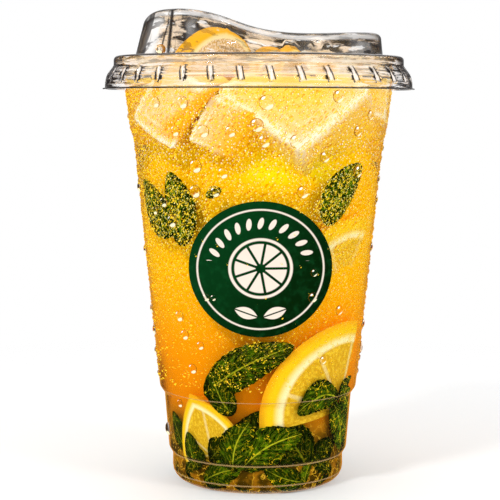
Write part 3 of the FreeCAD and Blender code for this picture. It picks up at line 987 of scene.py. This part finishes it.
def juice_outline(reach):
    """The section of the juice: the tumbler's inside moved into the wall, up to the level."""
    by = WALL - reach / MM
    punt = raised_punt(by)
    level = LEVEL / MM
    top = float(wall_radius(LEVEL)) / MM - by
    surface = [
        (top, level + 0.9, 0.4), (top - 0.9, level + 0.15, 0.8), (top - 2.5, level, 1.0), (0.0, level, 0.0),
    ]
    return rounded(punt + inset(OUTSIDE, by) + surface)


def cloud_outline():
    """The section of the cloudy juice: most of the width, less among the ice."""
    shares = (
        (0.0, 3.9), (20.2, 3.9), (22.8, 1.3), (25.2, 1.3), (26.6, 4.5), (26.4, 9.0), (26.0, 14.0),
        (26.0, 26.0), (26.6, 34.0), (29.0, 60.0), (31.5, 88.0), (32.0, 100.0),
        (29.5, 108.0), (27.5, 116.0), (27.5, 126.0), (24.0, 131.0), (0.0, 132.5),
    )
    return rounded([(radius, height, 0.8) for radius, height in shares], 3)


def block(name, corner, edges, fades=(), rounding=1.7):
    """A block of ice from its nearest corner and three edges in millimetres, with melted edges.

    It turns gold where every fade does: a weight for each edge, and the sums at which it starts and ends.
    """
    start()
    bpy.ops.mesh.primitive_cube_add(size=1.0)
    piece = bpy.context.object
    piece.name = name
    editing()
    bpy.ops.uv.reset()
    bpy.ops.mesh.subdivide(number_cuts=9)
    bpy.ops.transform.translate(value=(0.5, 0.5, 0.5))
    bpy.ops.object.mode_set(mode="OBJECT")
    columns = [Vector(edge) * MM for edge in edges]
    spread = Matrix((columns[0], columns[1], columns[2])).transposed().to_4x4()
    placed = Matrix.Translation(Vector(corner) * MM) @ spread
    piece.data.transform(placed)
    clean(piece)
    limit = math.radians(25.0)
    apply(piece, "BEVEL", width=rounding * MM, segments=3, limit_method="ANGLE", angle_limit=limit)
    # Painted light and shade: each face notes how far it turns to a fixed key up left.
    key = Vector((-0.45, -0.55, 0.70)).normalized()
    lit = [0.0] * len(piece.data.loops)
    for face in piece.data.polygons:
        share = min(max(0.50 + 0.80 * face.normal.dot(key), 0.0), 1.0)
        for loop in face.loop_indices:
            lit[loop] = share
    note(piece, "lit", lit, "CORNER")
    shares = np.array([placed.inverted() @ v.co for v in piece.data.vertices])
    gold = np.full(len(shares), float(len(fades) > 0))
    for weights, low, high in fades:
        gold *= np.clip((shares @ np.array(weights) - low) / (high - low), 0.0, 1.0)
    note(piece, "gold", gold)
    return piece


def leaf(name, base, tip, half_width, depth, tone, bow=0.06, belly=0.45, lift=0.8):
    """A mint leaf behind the wall. base and tip are (direction in degrees, height in millimetres)."""
    start()
    bpy.ops.mesh.primitive_grid_add(x_subdivisions=44, y_subdivisions=22, size=1.0)
    piece = bpy.context.object
    piece.name = name
    grid = np.array([v.co for v in piece.data.vertices])
    u, v = grid[:, 0] + 0.5, grid[:, 1] * 2.0
    start_at = np.array((around(base[0], base[1] * MM), base[1] * MM))
    end_at = np.array((around(tip[0], tip[1] * MM), tip[1] * MM))
    axis = end_at - start_at
    length = np.hypot(*axis)
    axis = axis / length
    across = np.array((-axis[1], axis[0]))
    swell = np.sin(np.pi * np.power(u, math.log(0.5) / math.log(belly))) ** 0.60
    teeth = 1.0 + 0.09 * np.abs(v) ** 4 * (1.0 - np.mod(u * 12.0, 1.0))
    width = half_width * MM * swell * teeth
    bend = bow * length * np.sin(np.pi * u)
    along = start_at[0] + axis[0] * u * length + across[0] * (v * width + bend)
    height = start_at[1] + axis[1] * u * length + across[1] * (v * width + bend)
    ribs = np.abs(np.sin(np.pi * (u * 8.0 - np.abs(v) * 3.2)))
    relief = 0.35 * MM * ribs * (1.0 - np.abs(v) ** 3) * swell
    fold = lift * MM * (np.abs(v) ** 1.3) * swell
    deep = (depth[0] + (depth[1] - depth[0]) * u) * MM - relief + fold
    points = behind_wall(along, height, np.maximum(deep, 0.55 * MM))
    piece.data.vertices.foreach_set("co", points.astype(np.float32).ravel())
    piece.data.update()
    apply(piece, "SOLIDIFY", thickness=0.25 * MM, offset=0.0)
    note(piece, "tone", [tone] * len(piece.data.vertices))
    return piece


def wedge(name, centre, radii, span, depth, sink, point, tilt, thickness):
    """A part of a slice behind the wall, over a span of directions from its centre (direction, height).

    radii are its reach along and up the wall. point makes the rind a pointed arch in place of a circle.
    """
    start()
    bpy.ops.mesh.primitive_grid_add(x_subdivisions=56, y_subdivisions=24, size=1.0)
    piece = bpy.context.object
    piece.name = name
    grid = np.array([v.co for v in piece.data.vertices])
    angle = np.radians(span[0] + (grid[:, 0] + 0.5) * (span[1] - span[0]))
    share = grid[:, 1] + 0.5
    rind = np.sqrt(1.0 - (point * np.sin(angle)) ** 2) - point * np.abs(np.cos(angle))
    across, up = share * rind * np.cos(angle) * radii[0], share * rind * np.sin(angle) * radii[1]
    lean = math.radians(tilt)
    along = around(centre[0], centre[1] * MM) + (across * math.cos(lean) - up * math.sin(lean)) * MM
    height = np.maximum(centre[1] + across * math.sin(lean) + up * math.cos(lean), 6.0) * MM
    crown = 0.9 * np.clip((share - 0.9) / 0.1, 0, 1) ** 2
    points = behind_wall(along, height, (depth + crown + sink * (1.0 - share)) * MM)
    piece.data.vertices.foreach_set("co", points.astype(np.float32).ravel())
    flat = np.stack((0.5 + 0.5 * share * np.cos(angle), 0.5 + 0.5 * share * np.sin(angle)), axis=-1)
    layer = piece.data.uv_layers.active.data
    for loop in piece.data.loops:
        layer[loop.index].uv = flat[loop.vertex_index]
    piece.data.update()
    apply(piece, "SOLIDIFY", thickness=thickness, offset=1.0)
    return piece


def standing_slice(name, node, centre, radius, thickness, turn, lean):
    """A round slice on edge that stands out of the drink, in the place of its CAD node."""
    start()
    bpy.ops.mesh.primitive_cylinder_add(
        vertices=96, radius=radius * MM, depth=thickness * MM, end_fill_type="NGON")
    piece = bpy.context.object
    piece.name = name
    apply(piece, "BEVEL", width=1.5 * MM, segments=4, limit_method="ANGLE")
    editing()
    bpy.ops.mesh.select_all(action="DESELECT")
    bpy.ops.object.mode_set(mode="OBJECT")
    for face in piece.data.polygons:
        face.select = len(face.vertices) > 8
    bpy.ops.object.mode_set(mode="EDIT")
    for part in (0.12, 0.2, 0.3):
        bpy.ops.mesh.inset(thickness=part * radius * MM)
    bpy.ops.mesh.quads_convert_to_tris()
    bpy.ops.mesh.subdivide(number_cuts=1)
    bpy.ops.object.mode_set(mode="OBJECT")
    layer = piece.data.uv_layers.active.data
    for loop in piece.data.loops:
        place = piece.data.vertices[loop.vertex_index].co / (2 * radius * MM)
        layer[loop.index].uv = (place.x + 0.5, place.y + 0.5)
    note(piece, "dry", [1.0] * len(piece.data.vertices))
    upright = Matrix.Rotation(math.radians(90.0), 4, "X")
    leaned = Matrix.Rotation(math.radians(lean), 4, "X") @ upright
    leaned = Matrix.Rotation(math.radians(turn), 4, "Z") @ leaned
    piece.data.transform(Matrix.Translation(Vector(centre) * MM) @ leaned)
    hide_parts(node)
    return piece


# ---------------------------------------------------------------------------------------------------
# Operators
# ---------------------------------------------------------------------------------------------------

class DRINK_OT_stage(bpy.types.Operator):
    """Make the camera, the lamps, the white surroundings and the pale floor"""
    bl_idname = "drink.stage"
    bl_label = "Stage"

    def execute(self, context):
        stage = settings("stage")
        scene = context.scene
        scene.view_settings.view_transform = "Standard"
        scene.cycles.max_bounces = 20
        scene.cycles.transmission_bounces = 16
        scene.cycles.transparent_max_bounces = 24
        scene.cycles.use_denoising = True
        scene.cycles.denoising_prefilter = "NONE"
        scene.cycles.caustics_refractive = False
        scene.cycles.caustics_reflective = False
        start()
        bpy.ops.object.camera_add(location=(-stage.aside, -stage.distance, stage.height))
        camera = context.object
        turn = Matrix.Rotation(math.pi / 2 - stage.pitch, 4, "X") @ Matrix.Rotation(stage.roll, 4, "Z")
        camera.matrix_world = Matrix.Translation(camera.location) @ turn
        camera.data.lens = stage.lens
        camera.data.sensor_width = 36.0
        camera.data.clip_start = 0.01
        scene.camera = camera
        self.lamp("key", (-0.45, -0.55, 0.62), 0.12, stage.key)
        self.lamp("fill", (0.62, -0.50, 0.48), 0.20, stage.fill)
        self.lamp("back", (0.10, 0.70, 0.60), 0.50, stage.fill * 0.6)
        self.surroundings(scene, stage)
        self.floor(stage)
        return {"FINISHED"}

    def lamp(self, name, place, size, power):
        """A square soft lamp that looks at the drink."""
        aim = Vector((0.0, 0.0, 0.08)) - Vector(place)
        rotation = aim.to_track_quat("-Z", "Y").to_euler()
        bpy.ops.object.light_add(type="AREA", location=place, rotation=rotation)
        lamp = bpy.context.object
        lamp.name = name + "_lamp"
        lamp.data.size = size
        lamp.data.energy = power

    def surroundings(self, scene, stage):
        """Even light all round. The eye meets white; in and through the sheet, only the +Y side is white."""
        world = bpy.data.worlds.new("surroundings")
        world.use_nodes = True
        scene.world = world
        sky = Shader.of_tree(world.node_tree)
        path = sky.add("ShaderNodeLightPath")
        direction = sky.add("ShaderNodeTexCoord").out("Generated")
        parts = sky.add("ShaderNodeSeparateXYZ", inputs=(direction,))
        looked_through = path.out("Is Glossy Ray").most(path.out("Is Transmission Ray"))
        first = path.out("Diffuse Depth") < 0.5
        aside = abs(parts.out("X")) + path.out("Is Glossy Ray") * 0.42
        backdrop = parts.out("Y").step(0.0, 0.3) * (1.0 - aside.step(0.55, 0.80))
        sides = (1.0 - backdrop) * (parts.out("Z") < 0.6) * looked_through
        shown = sky.add("ShaderNodeBackground", inputs={
            "Color": sky.mix(sides, (1.0, 1.0, 1.0), (stage.flag, stage.flag, stage.flag)), "Strength": 1.0})
        even = sky.add("ShaderNodeBackground", inputs={"Color": (1.0, 1.0, 1.0, 1.0), "Strength": stage.sky})
        seen = path.out("Is Camera Ray").most(looked_through * first)
        sky.add("ShaderNodeOutputWorld", inputs={"Surface": sky.blend(seen, even, shown)})

    def floor(self, stage):
        """A round pale floor that keeps the shadow near the object and fades into the white."""
        start()
        bpy.ops.mesh.primitive_circle_add(vertices=96, radius=1.6, fill_type="NGON")
        floor = bpy.context.object
        floor.name = "floor"
        shader = Shader("pale floor")
        _, x, y, _ = shader.place()
        radius = x.hypot(y)
        near = shader.surface(Base_Color=rgb(stage.floor), Roughness=0.8, Specular_IOR_Level=0.0)
        far = shader.add("ShaderNodeBsdfTransparent")
        mirrored = shader.add("ShaderNodeLightPath").out("Is Glossy Ray") * 0.97
        surface = shader.blend(radius.step(0.10, 0.32).most(mirrored), near, far)
        floor.data.materials.append(shader.finish(surface))


class DRINK_OT_tumbler(bpy.types.Operator):
    """Turn the thin clear wall of the tumbler"""
    bl_idname = "drink.tumbler"
    bl_label = "Tumbler"

    def execute(self, context):
        piece = lathe("tumbler_wall", tumbler_outline(), 160)
        mark_outer(piece, 0.060)
        finish(piece, clear_sheet("tumbler sheet", settings("tumbler").ior, 0.35))
        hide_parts("tumbler")
        return {"FINISHED"}


class DRINK_OT_lid(bpy.types.Operator):
    """Smooth the lid's sheet and give it its streaks"""
    bl_idname = "drink.lid"
    bl_label = "Lid"

    def execute(self, context):
        source = frame["nodes"]["lid"]
        piece = source.copy()
        piece.data = source.data.copy()
        piece.name = "lid_sheet"
        piece.parent = None
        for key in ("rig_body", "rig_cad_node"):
            if key in piece:
                del piece[key]
        context.scene.collection.objects.link(piece)
        choose(piece)
        editing()
        bpy.ops.mesh.remove_doubles(threshold=0.002 * MM)
        bpy.ops.object.mode_set(mode="OBJECT")
        self.mark(piece)
        finish(piece, lid_material(), 28.0)
        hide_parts("lid")
        return {"FINISHED"}

    def mark(self, piece):
        """Notes at each point how far it lies below the top over it."""
        points = np.array([v.co for v in piece.data.vertices])
        lanes = np.arange(-40.0, 45.0, 1.0) * MM
        tops = np.array([points[np.abs(points[:, 0] - x) < 1.2 * MM, 2].max() for x in lanes])
        below = np.interp(points[:, 0], lanes, tops) - points[:, 2]
        note(piece, "below", below)
        mark_outer(piece, 0.128)


class DRINK_OT_juice(bpy.types.Operator):
    """Fill the tumbler with clear juice over a cloudy middle"""
    bl_idname = "drink.juice"
    bl_label = "Juice"

    def execute(self, context):
        clear = lathe("juice_clear", juice_outline(settings("juice").reach), 160)
        finish(clear, juice_material())
        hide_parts("drink")
        cloud = lathe("juice_cloud", cloud_outline(), 96)
        finish(cloud, cloud_material(), 60.0)
        return {"FINISHED"}


class DRINK_OT_ice(bpy.types.Operator):
    """Cut the sunk ice blocks and the one that stands out of the juice"""
    bl_idname = "drink.ice"
    bl_label = "Ice"

    # name, corner nearest the wall, three edges from it, in millimetres; where it turns gold
    BLOCKS = (
        ("left", (-27.7, -28.7, 112.5), ((-12.6, 17.5, 10.1), (12.7, -10.4, 18.7), (8.0, 12.0, 3.0)),
         (((-1.0, -0.4, 0.0), -0.60, -0.42), ((0.0, 1.0, 0.0), 0.08, 0.25))),
        ("middle", (-22.4, -32.3, 116.6), ((8.0, -2.6, 14.4), (13.0, -3.6, -6.6), (6.0, 14.0, -2.0)),
         (((0.0, 1.0, 0.0), 0.12, 0.95),)),
        ("front", (13.4, -38.2, 112.6), ((-26.5, 2.0, 18.8), (21.6, 17.0, 19.6), (0.2, 17.0, -13.0)),
         (((0.0, 0.0, 1.0), 0.05, 1.2),)),
    )

    # how far each group of blocks is turned about the axis, and how many of the rows it has
    GROUPS_ROUND = ((0.0, 3), (150.0, 3), (-72.0, 1))
    TOP_SIZE = (11.0, 18.0, 19.0)
    TOP_TURN = (6.0, 4.0)

    def execute(self, context):
        made = []
        for turn, kinds in self.GROUPS_ROUND:
            for name, corner, edges, fades in self.BLOCKS[:kinds]:
                piece = block("ice_" + name, corner, edges, fades)
                piece.data.transform(Matrix.Rotation(math.radians(turn), 4, "Z"))
                made.append(piece)
        material = ice_material()
        sunk = join(made, "ice_sunk")
        choose(sunk)
        editing()
        bpy.ops.mesh.bisect(
            plane_co=(0, 0, LEVEL - 0.5 * MM), plane_no=(0, 0, 1), use_fill=True, clear_outer=True)
        bpy.ops.object.mode_set(mode="OBJECT")
        finish(sunk, material, 50.0)
        low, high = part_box("ice_top")
        size = Vector(self.TOP_SIZE)
        corner = -size / 2
        top = block("ice_floating", corner, ((size.x, 0, 0), (0, size.y, 0), (0, 0, size.z)), rounding=2.0)
        turn, lean = (math.radians(angle) for angle in self.TOP_TURN)
        lean = Matrix.Rotation(turn, 4, "Z") @ Matrix.Rotation(lean, 4, "X")
        top.data.transform(Matrix.Translation((low + high) / 2) @ lean)
        finish(top, material, 50.0)
        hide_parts("ice_top")
        return {"FINISHED"}


class DRINK_OT_lemon(bpy.types.Operator):
    """Cut the lemon slices that stand out of the juice and the pieces sunk in it"""
    bl_idname = "drink.lemon"
    bl_label = "Lemon"

    # node, centre, radius, thickness, turn about Z, lean to the front
    STANDING = (
        ("lemon_slice_spout", (-16.8, -4.0, 131.3), 21.8, 6.0, 53.0, 13.0),
        ("lemon_slice_middle", (1.8, -3.0, 126.2), 20.0, 4.6, 68.0, 6.0),
        ("lemon_slice_back", (8.4, -1.0, 125.9), 20.0, 4.6, 68.0, 6.0),
    )
    # centre (direction, height), reach along and up, span of directions, depth, sink, point, tilt
    SUNK = (
        ((66.0, 26.0), (36.0, 30.5), (76.0, 188.0), 1.8, 4.0, 0.0, 0.0),
        ((-33.0, 12.5), (34.0, 28.0), (5.0, 175.0), 1.8, 2.5, 0.6, 23.0),
        ((64.0, 62.0), (33.0, 29.0), (75.0, 150.0), 2.4, 9.0, 0.0, 0.0),
        ((150.0, 60.0), (30.0, 30.0), (20.0, 200.0), 2.5, 2.0, 0.0, 0.0),
        ((-140.0, 78.0), (30.0, 30.0), (190.0, 350.0), 3.0, 2.0, 0.0, 0.0),
        ((-165.0, 26.0), (30.0, 30.0), (10.0, 130.0), 2.5, 2.0, 0.0, 0.0),
    )

    def execute(self, context):
        fruit = settings("fruit")
        material = lemon_material()
        for node, centre, radius, thickness, turn, lean in self.STANDING:
            piece = standing_slice(node + "_cut", node, centre, radius, thickness, turn, lean)
            finish(piece, material, 50.0)
        made = [wedge("lemon_sunk", *row, fruit.thickness) for row in self.SUNK]
        finish(join(made, "lemon_sunk"), material, 50.0)
        return {"FINISHED"}


class DRINK_OT_mint(bpy.types.Operator):
    """Grow the mint leaves that stand behind the wall"""
    bl_idname = "drink.mint"
    bl_label = "Mint"

    # base (direction, height), tip (direction, height), half width, (depth at base, at tip), tone
    LEAVES = (
        ((-40.0, 82.0), (-46.0, 106.0), 6.4, (1.6, 1.2), 0.65, -0.04),
        ((-48.0, 85.5), (-72.0, 102.5), 6.6, (2.6, 1.6), 0.50),
        ((33.0, 89.5), (55.5, 108.3), 6.0, (1.8, 1.2), 0.85),
        ((-25.5, 98.5), (-17.5, 100.8), 1.7, (1.8, 1.6), 0.5),
        ((-33.0, 33.5), (19.5, 50.5), 6.2, (1.9, 1.1), 0.50, 0.06, 0.42),
        ((-16.0, 27.0), (-27.0, 41.5), 4.6, (1.7, 1.5), 0.45),
        ((-17.0, 8.0), (-5.5, 25.0), 6.0, (1.4, 1.2), 0.85, 0.10),
        ((-11.0, 9.5), (28.0, 20.5), 6.2, (1.6, 1.3), 0.95, 0.10),
        ((1.0, 6.0), (3.5, 29.0), 11.0, (3.4, 3.6), 0.0),
        ((40.0, 5.0), (6.0, 24.5), 7.8, (3.0, 3.0), 0.0, -0.08),
        ((58.0, 31.0), (24.5, 27.5), 5.2, (1.8, 1.5), 0.75, -0.18),
        ((54.0, 29.0), (68.0, 12.0), 5.0, (1.8, 1.6), 0.95, 0.10),
        ((61.0, 31.0), (72.0, 37.0), 2.0, (3.4, 3.0), 0.5),
        ((-44.0, 7.0), (-51.0, 19.5), 3.8, (1.6, 1.6), 0.45),
        ((-56.0, 13.0), (-70.0, 25.0), 4.0, (3.0, 2.6), 0.35),
        ((-60.0, 4.5), (-38.0, 13.5), 5.6, (2.6, 2.4), 0.05),
        ((-40.0, 3.4), (-12.0, 9.0), 4.4, (2.2, 2.0), 0.55),
        ((-18.0, 3.8), (14.0, 8.6), 4.6, (3.2, 3.0), 0.0),
        ((34.0, 3.6), (4.0, 9.2), 3.8, (2.0, 1.8), 0.45),
        ((32.0, 2.8), (38.0, 11.2), 1.9, (1.5, 1.5), 1.0),
        ((62.0, 5.0), (40.0, 12.0), 5.2, (2.6, 2.4), 0.05),
        ((42.0, 8.0), (62.0, 16.0), 4.6, (3.6, 3.4), 0.0),
        ((-34.0, 11.0), (-12.0, 20.0), 5.4, (2.8, 3.0), 0.0),
        ((-30.0, 4.0), (0.0, 12.0), 5.0, (3.0, 3.0), 0.0),
        ((8.0, 4.0), (36.0, 11.0), 4.6, (3.2, 3.2), 0.0),
    )
    # leaves all round the foot and a few higher up, out of the front
    AROUND = 26

    def execute(self, context):
        mint = settings("mint")
        made = [leaf("mint", *row) for row in self.LEAVES]
        draw = np.random.default_rng(mint.seed)
        for k in range(self.AROUND):
            direction = 80.0 + 200.0 * (k + draw.uniform(0.2, 0.8)) / self.AROUND
            high = k % 5 == 4
            height = draw.uniform(45.0, 105.0) if high else draw.uniform(4.0, 26.0)
            length = draw.uniform(15.0, 26.0)
            heading = draw.uniform(20.0, 160.0)
            radius = wall_radius(height * MM) / MM
            tip = (direction + math.degrees(length * math.cos(math.radians(heading)) / radius),
                   height + length * math.sin(math.radians(heading)))
            deep = draw.uniform(1.4, 3.6)
            made.append(leaf("mint", (direction, height), tip, draw.uniform(3.6, 6.0),
                             (deep, deep - 0.2), draw.uniform(0.1, 0.9)))
        finish(join(made, "mint_leaves"), mint_material(), 60.0)
        return {"FINISHED"}


class DRINK_OT_label(bpy.types.Operator):
    """Wrap the round label on the wall"""
    bl_idname = "drink.label"
    bl_label = "Label"

    def execute(self, context):
        look = settings("label")
        low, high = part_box("label")
        middle = (low + high) / 2
        start()
        bpy.ops.mesh.primitive_circle_add(vertices=144, radius=1.0, fill_type="NGON")
        piece = context.object
        piece.name = "label_film"
        editing()
        bpy.ops.mesh.bisect(plane_co=(0, 0, 0), plane_no=(1, 0, 0), clear_inner=False)
        for k in range(-14, 15):
            bpy.ops.mesh.select_all(action="SELECT")
            bpy.ops.mesh.bisect(plane_co=(k / 15.0, 0, 0), plane_no=(1, 0, 0))
        bpy.ops.object.mode_set(mode="OBJECT")
        flat = np.array([v.co for v in piece.data.vertices])
        across = middle.x + flat[:, 0] * look.half_width
        height = middle.z + flat[:, 1] * look.half_height
        radius = wall_radius(height) + look.thickness
        points = np.stack((across, -np.sqrt(radius ** 2 - across ** 2), height), axis=-1)
        piece.data.vertices.foreach_set("co", points.astype(np.float32).ravel())
        piece.data.update()
        clean(piece)
        apply(piece, "SOLIDIFY", thickness=look.thickness, offset=-1.0)
        finish(piece, label_material(), 40.0)
        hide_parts("label")
        return {"FINISHED"}


class DRINK_OT_dew(bpy.types.Operator):
    """Scatter fine dew and set the larger drops on the cold wall"""
    bl_idname = "drink.dew"
    bl_label = "Dew"

    # direction in degrees, height and radius in millimetres
    LARGE = (
        (-48, 128, 1.4), (-33, 128, 1.6), (-38, 119, 1.4), (-24, 119, 1.6), (-12, 119, 1.4), (-1, 121, 1.7),
        (2, 116, 1.6), (16, 116, 1.7), (3, 128, 1.9), (34, 130, 1.6), (30, 111, 1.4), (47, 119, 1.4),
        (55, 124, 1.3), (20, 100, 1.6), (51, 106, 1.6), (12, 118, 0.8), (-29, 108, 1.7), (-16, 106, 1.4),
        (-30, 100, 1.6), (-20, 100, 1.3), (-50, 96, 1.3), (-58, 93, 1.1), (-45, 90, 1.6), (-45, 59, 1.4),
        (-42, 53, 1.3), (-32, 50, 1.1), (-38, 42, 1.3), (-54, 29, 1.1), (-27, 66, 1.0), (-23, 66, 0.8),
        (28, 66, 1.3), (28, 74, 1.0), (46, 61, 1.3), (37, 45, 1.1), (-79, 100, 1.4), (-82, 79, 1.3),
        (-80, 59, 1.2), (-78, 52, 1.3), (-77, 18, 1.8), (78, 103, 1.2), (79, 96, 1.2), (80, 80, 1.2),
        (80, 54, 1.3),
    )
    EXTRA = 70
    DOME = 0.55
    SPREAD = 1.28
    BEAD = (-31.0, -32.6, 144.6)
    BEAD_RADIUS = 1.6

    def execute(self, context):
        dew = settings("dew")
        draw = np.random.default_rng(dew.seed)
        material = dew_material("dew", 1.0, 1.25, rgb(dew.tint), (1.0, 0.92, 0.62), (1.0, 0.96, 0.86))
        faint = dew_material("fine dew", 0.3, 1.06, (1.0, 0.92, 0.66), (1.0, 0.66, 0.03), (1.0, 0.78, 0.14))
        rows = list(self.LARGE)
        for k in range(self.EXTRA):
            rows.append((draw.uniform(85.0, 275.0), draw.uniform(30.0, 129.0), draw.uniform(0.8, 1.7)))
        rows = np.array(rows)
        large = self.drops("dew_large", rows[:, 0], rows[:, 1], rows[:, 2] * self.SPREAD, 20, 7)
        finish(large, material, 60.0)
        bpy.ops.mesh.primitive_uv_sphere_add(segments=24, ring_count=16, radius=self.BEAD_RADIUS * MM)
        bead = context.object
        bead.name = "dew_bead"
        bead.data.transform(Matrix.Translation(Vector(self.BEAD) * MM))
        finish(bead, material, 60.0)
        direction, height, radius = self.fine(draw, dew.count)
        for k, name in enumerate(("front", "left", "right")):
            part = np.floor(((direction + 60.0) % 360.0) / 120.0) == k
            piece = self.drops("dew_" + name, direction[part], height[part], radius[part], 5, 2)
            finish(piece, faint, 80.0)
        return {"FINISHED"}

    def fine(self, draw, count):
        """Directions, heights and radii of fine drops: dense near the lid, sparse below, few on the label."""
        direction = draw.uniform(-180.0, 180.0, count)
        height = 131.5 - 96.0 * draw.uniform(0.0, 1.0, count) ** 1.5
        radius = np.clip(draw.lognormal(math.log(0.46), 0.34, count), 0.25, 1.0)
        look = settings("label")
        low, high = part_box("label")
        across = (np.radians(direction) * wall_radius(height * MM)) / (look.half_width * 1.06)
        up = (height * MM - (low.z + high.z) / 2) / look.half_height
        on_label = np.hypot(across, up) < 1.02
        keep = ~on_label | (draw.uniform(0.0, 1.0, count) < 0.06)
        return direction[keep], height[keep], radius[keep]

    def drops(self, name, direction, height, radius, segments, rings):
        """Closed low domes on the wall as one mesh."""
        lift = np.linspace(0.0, 1.0, rings + 1)[:-1]
        swell = np.cos(lift * math.pi / 2)
        rise = np.sin(lift * math.pi / 2)
        turn = np.arange(segments) * 2 * math.pi / segments
        local = [(s * math.cos(t), s * math.sin(t), h) for s, h in zip(swell, rise) for t in turn]
        local = np.array(local + [(0.0, 0.0, 1.0)])
        faces = []
        for ring in range(rings - 1):
            for k in range(segments):
                a, b = ring * segments + k, ring * segments + (k + 1) % segments
                faces.append((a, b, b + segments))
                faces.append((a, b + segments, a + segments))
        last = (rings - 1) * segments
        faces += [(last + k, last + (k + 1) % segments, rings * segments) for k in range(segments)]
        faces += [(0, k + 1, k) for k in range(1, segments - 1)]
        faces = np.array(faces)
        angle = np.radians(direction)
        upright = height * MM
        stand = wall_radius(upright)
        outward = np.stack((np.sin(angle), -np.cos(angle), np.full_like(angle, -0.09)), axis=-1)
        outward /= np.linalg.norm(outward, axis=1)[:, None]
        sideways = np.stack((np.cos(angle), np.sin(angle), np.zeros_like(angle)), axis=-1)
        upward = np.cross(outward, sideways)
        foot = np.stack((stand * np.sin(angle), -stand * np.cos(angle), upright), axis=-1)
        foot = foot - outward * 0.05 * MM
        size = (radius * MM)[:, None, None]
        points = foot[:, None, :] + size * (
            local[None, :, 0:1] * sideways[:, None, :] + local[None, :, 1:2] * upward[:, None, :]
            + local[None, :, 2:3] * self.DOME * outward[:, None, :])
        total = len(direction)
        offset = (np.arange(total) * len(local))[:, None, None]
        every = (faces[None, :, :] + offset).reshape(-1, 3)
        mesh = bpy.data.meshes.new(name)
        mesh.vertices.add(total * len(local))
        mesh.vertices.foreach_set("co", points.reshape(-1).astype(np.float32))
        mesh.loops.add(every.size)
        mesh.loops.foreach_set("vertex_index", every.reshape(-1).astype(np.int32))
        mesh.polygons.add(len(every))
        mesh.polygons.foreach_set("loop_start", np.arange(0, every.size, 3, dtype=np.int32))
        mesh.update(calc_edges=True)
        mesh.validate()
        piece = bpy.data.objects.new(name, mesh)
        bpy.context.scene.collection.objects.link(piece)
        return piece


class DRINK_PT_panel(bpy.types.Panel):
    """The drink's pieces and their settings"""
    bl_label = "Iced Citrus Drink"
    bl_idname = "DRINK_PT_panel"
    bl_space_type = "VIEW_3D"
    bl_region_type = "UI"
    bl_category = "Drink"

    def draw(self, context):
        for operator in OPERATORS:
            self.layout.operator(operator.bl_idname)
        for name, group in GROUPS.items():
            box = self.layout.box()
            box.label(text=group.__doc__)
            for key in group.__annotations__:
                box.prop(settings(name), key)


GROUPS = {
    "stage": StageSettings, "tumbler": TumblerSettings, "juice": JuiceSettings, "fruit": FruitSettings,
    "mint": MintSettings, "label": LabelSettings, "dew": DewSettings,
}
OPERATORS = (
    DRINK_OT_stage, DRINK_OT_juice, DRINK_OT_ice, DRINK_OT_lemon, DRINK_OT_mint, DRINK_OT_tumbler,
    DRINK_OT_lid, DRINK_OT_label, DRINK_OT_dew,
)


def register():
    """Registers every class and hangs the settings on the scene."""
    for name, group in GROUPS.items():
        bpy.utils.register_class(group)
        setattr(bpy.types.Scene, "drink_" + name, bpy.props.PointerProperty(type=group))
    for each in (*OPERATORS, DRINK_PT_panel):
        bpy.utils.register_class(each)


def unregister():
    """Takes everything away again."""
    for each in (DRINK_PT_panel, *reversed(OPERATORS)):
        bpy.utils.unregister_class(each)
    for name, group in reversed(GROUPS.items()):
        delattr(bpy.types.Scene, "drink_" + name)
        bpy.utils.unregister_class(group)


def main():
    """Builds every piece in order."""
    register()
    bpy.ops.drink.stage()
    bpy.ops.drink.juice()
    bpy.ops.drink.ice()
    bpy.ops.drink.lemon()
    bpy.ops.drink.mint()
    bpy.ops.drink.tumbler()
    bpy.ops.drink.lid()
    bpy.ops.drink.label()
    bpy.ops.drink.dew()


if __name__ == "__main__":
    main()
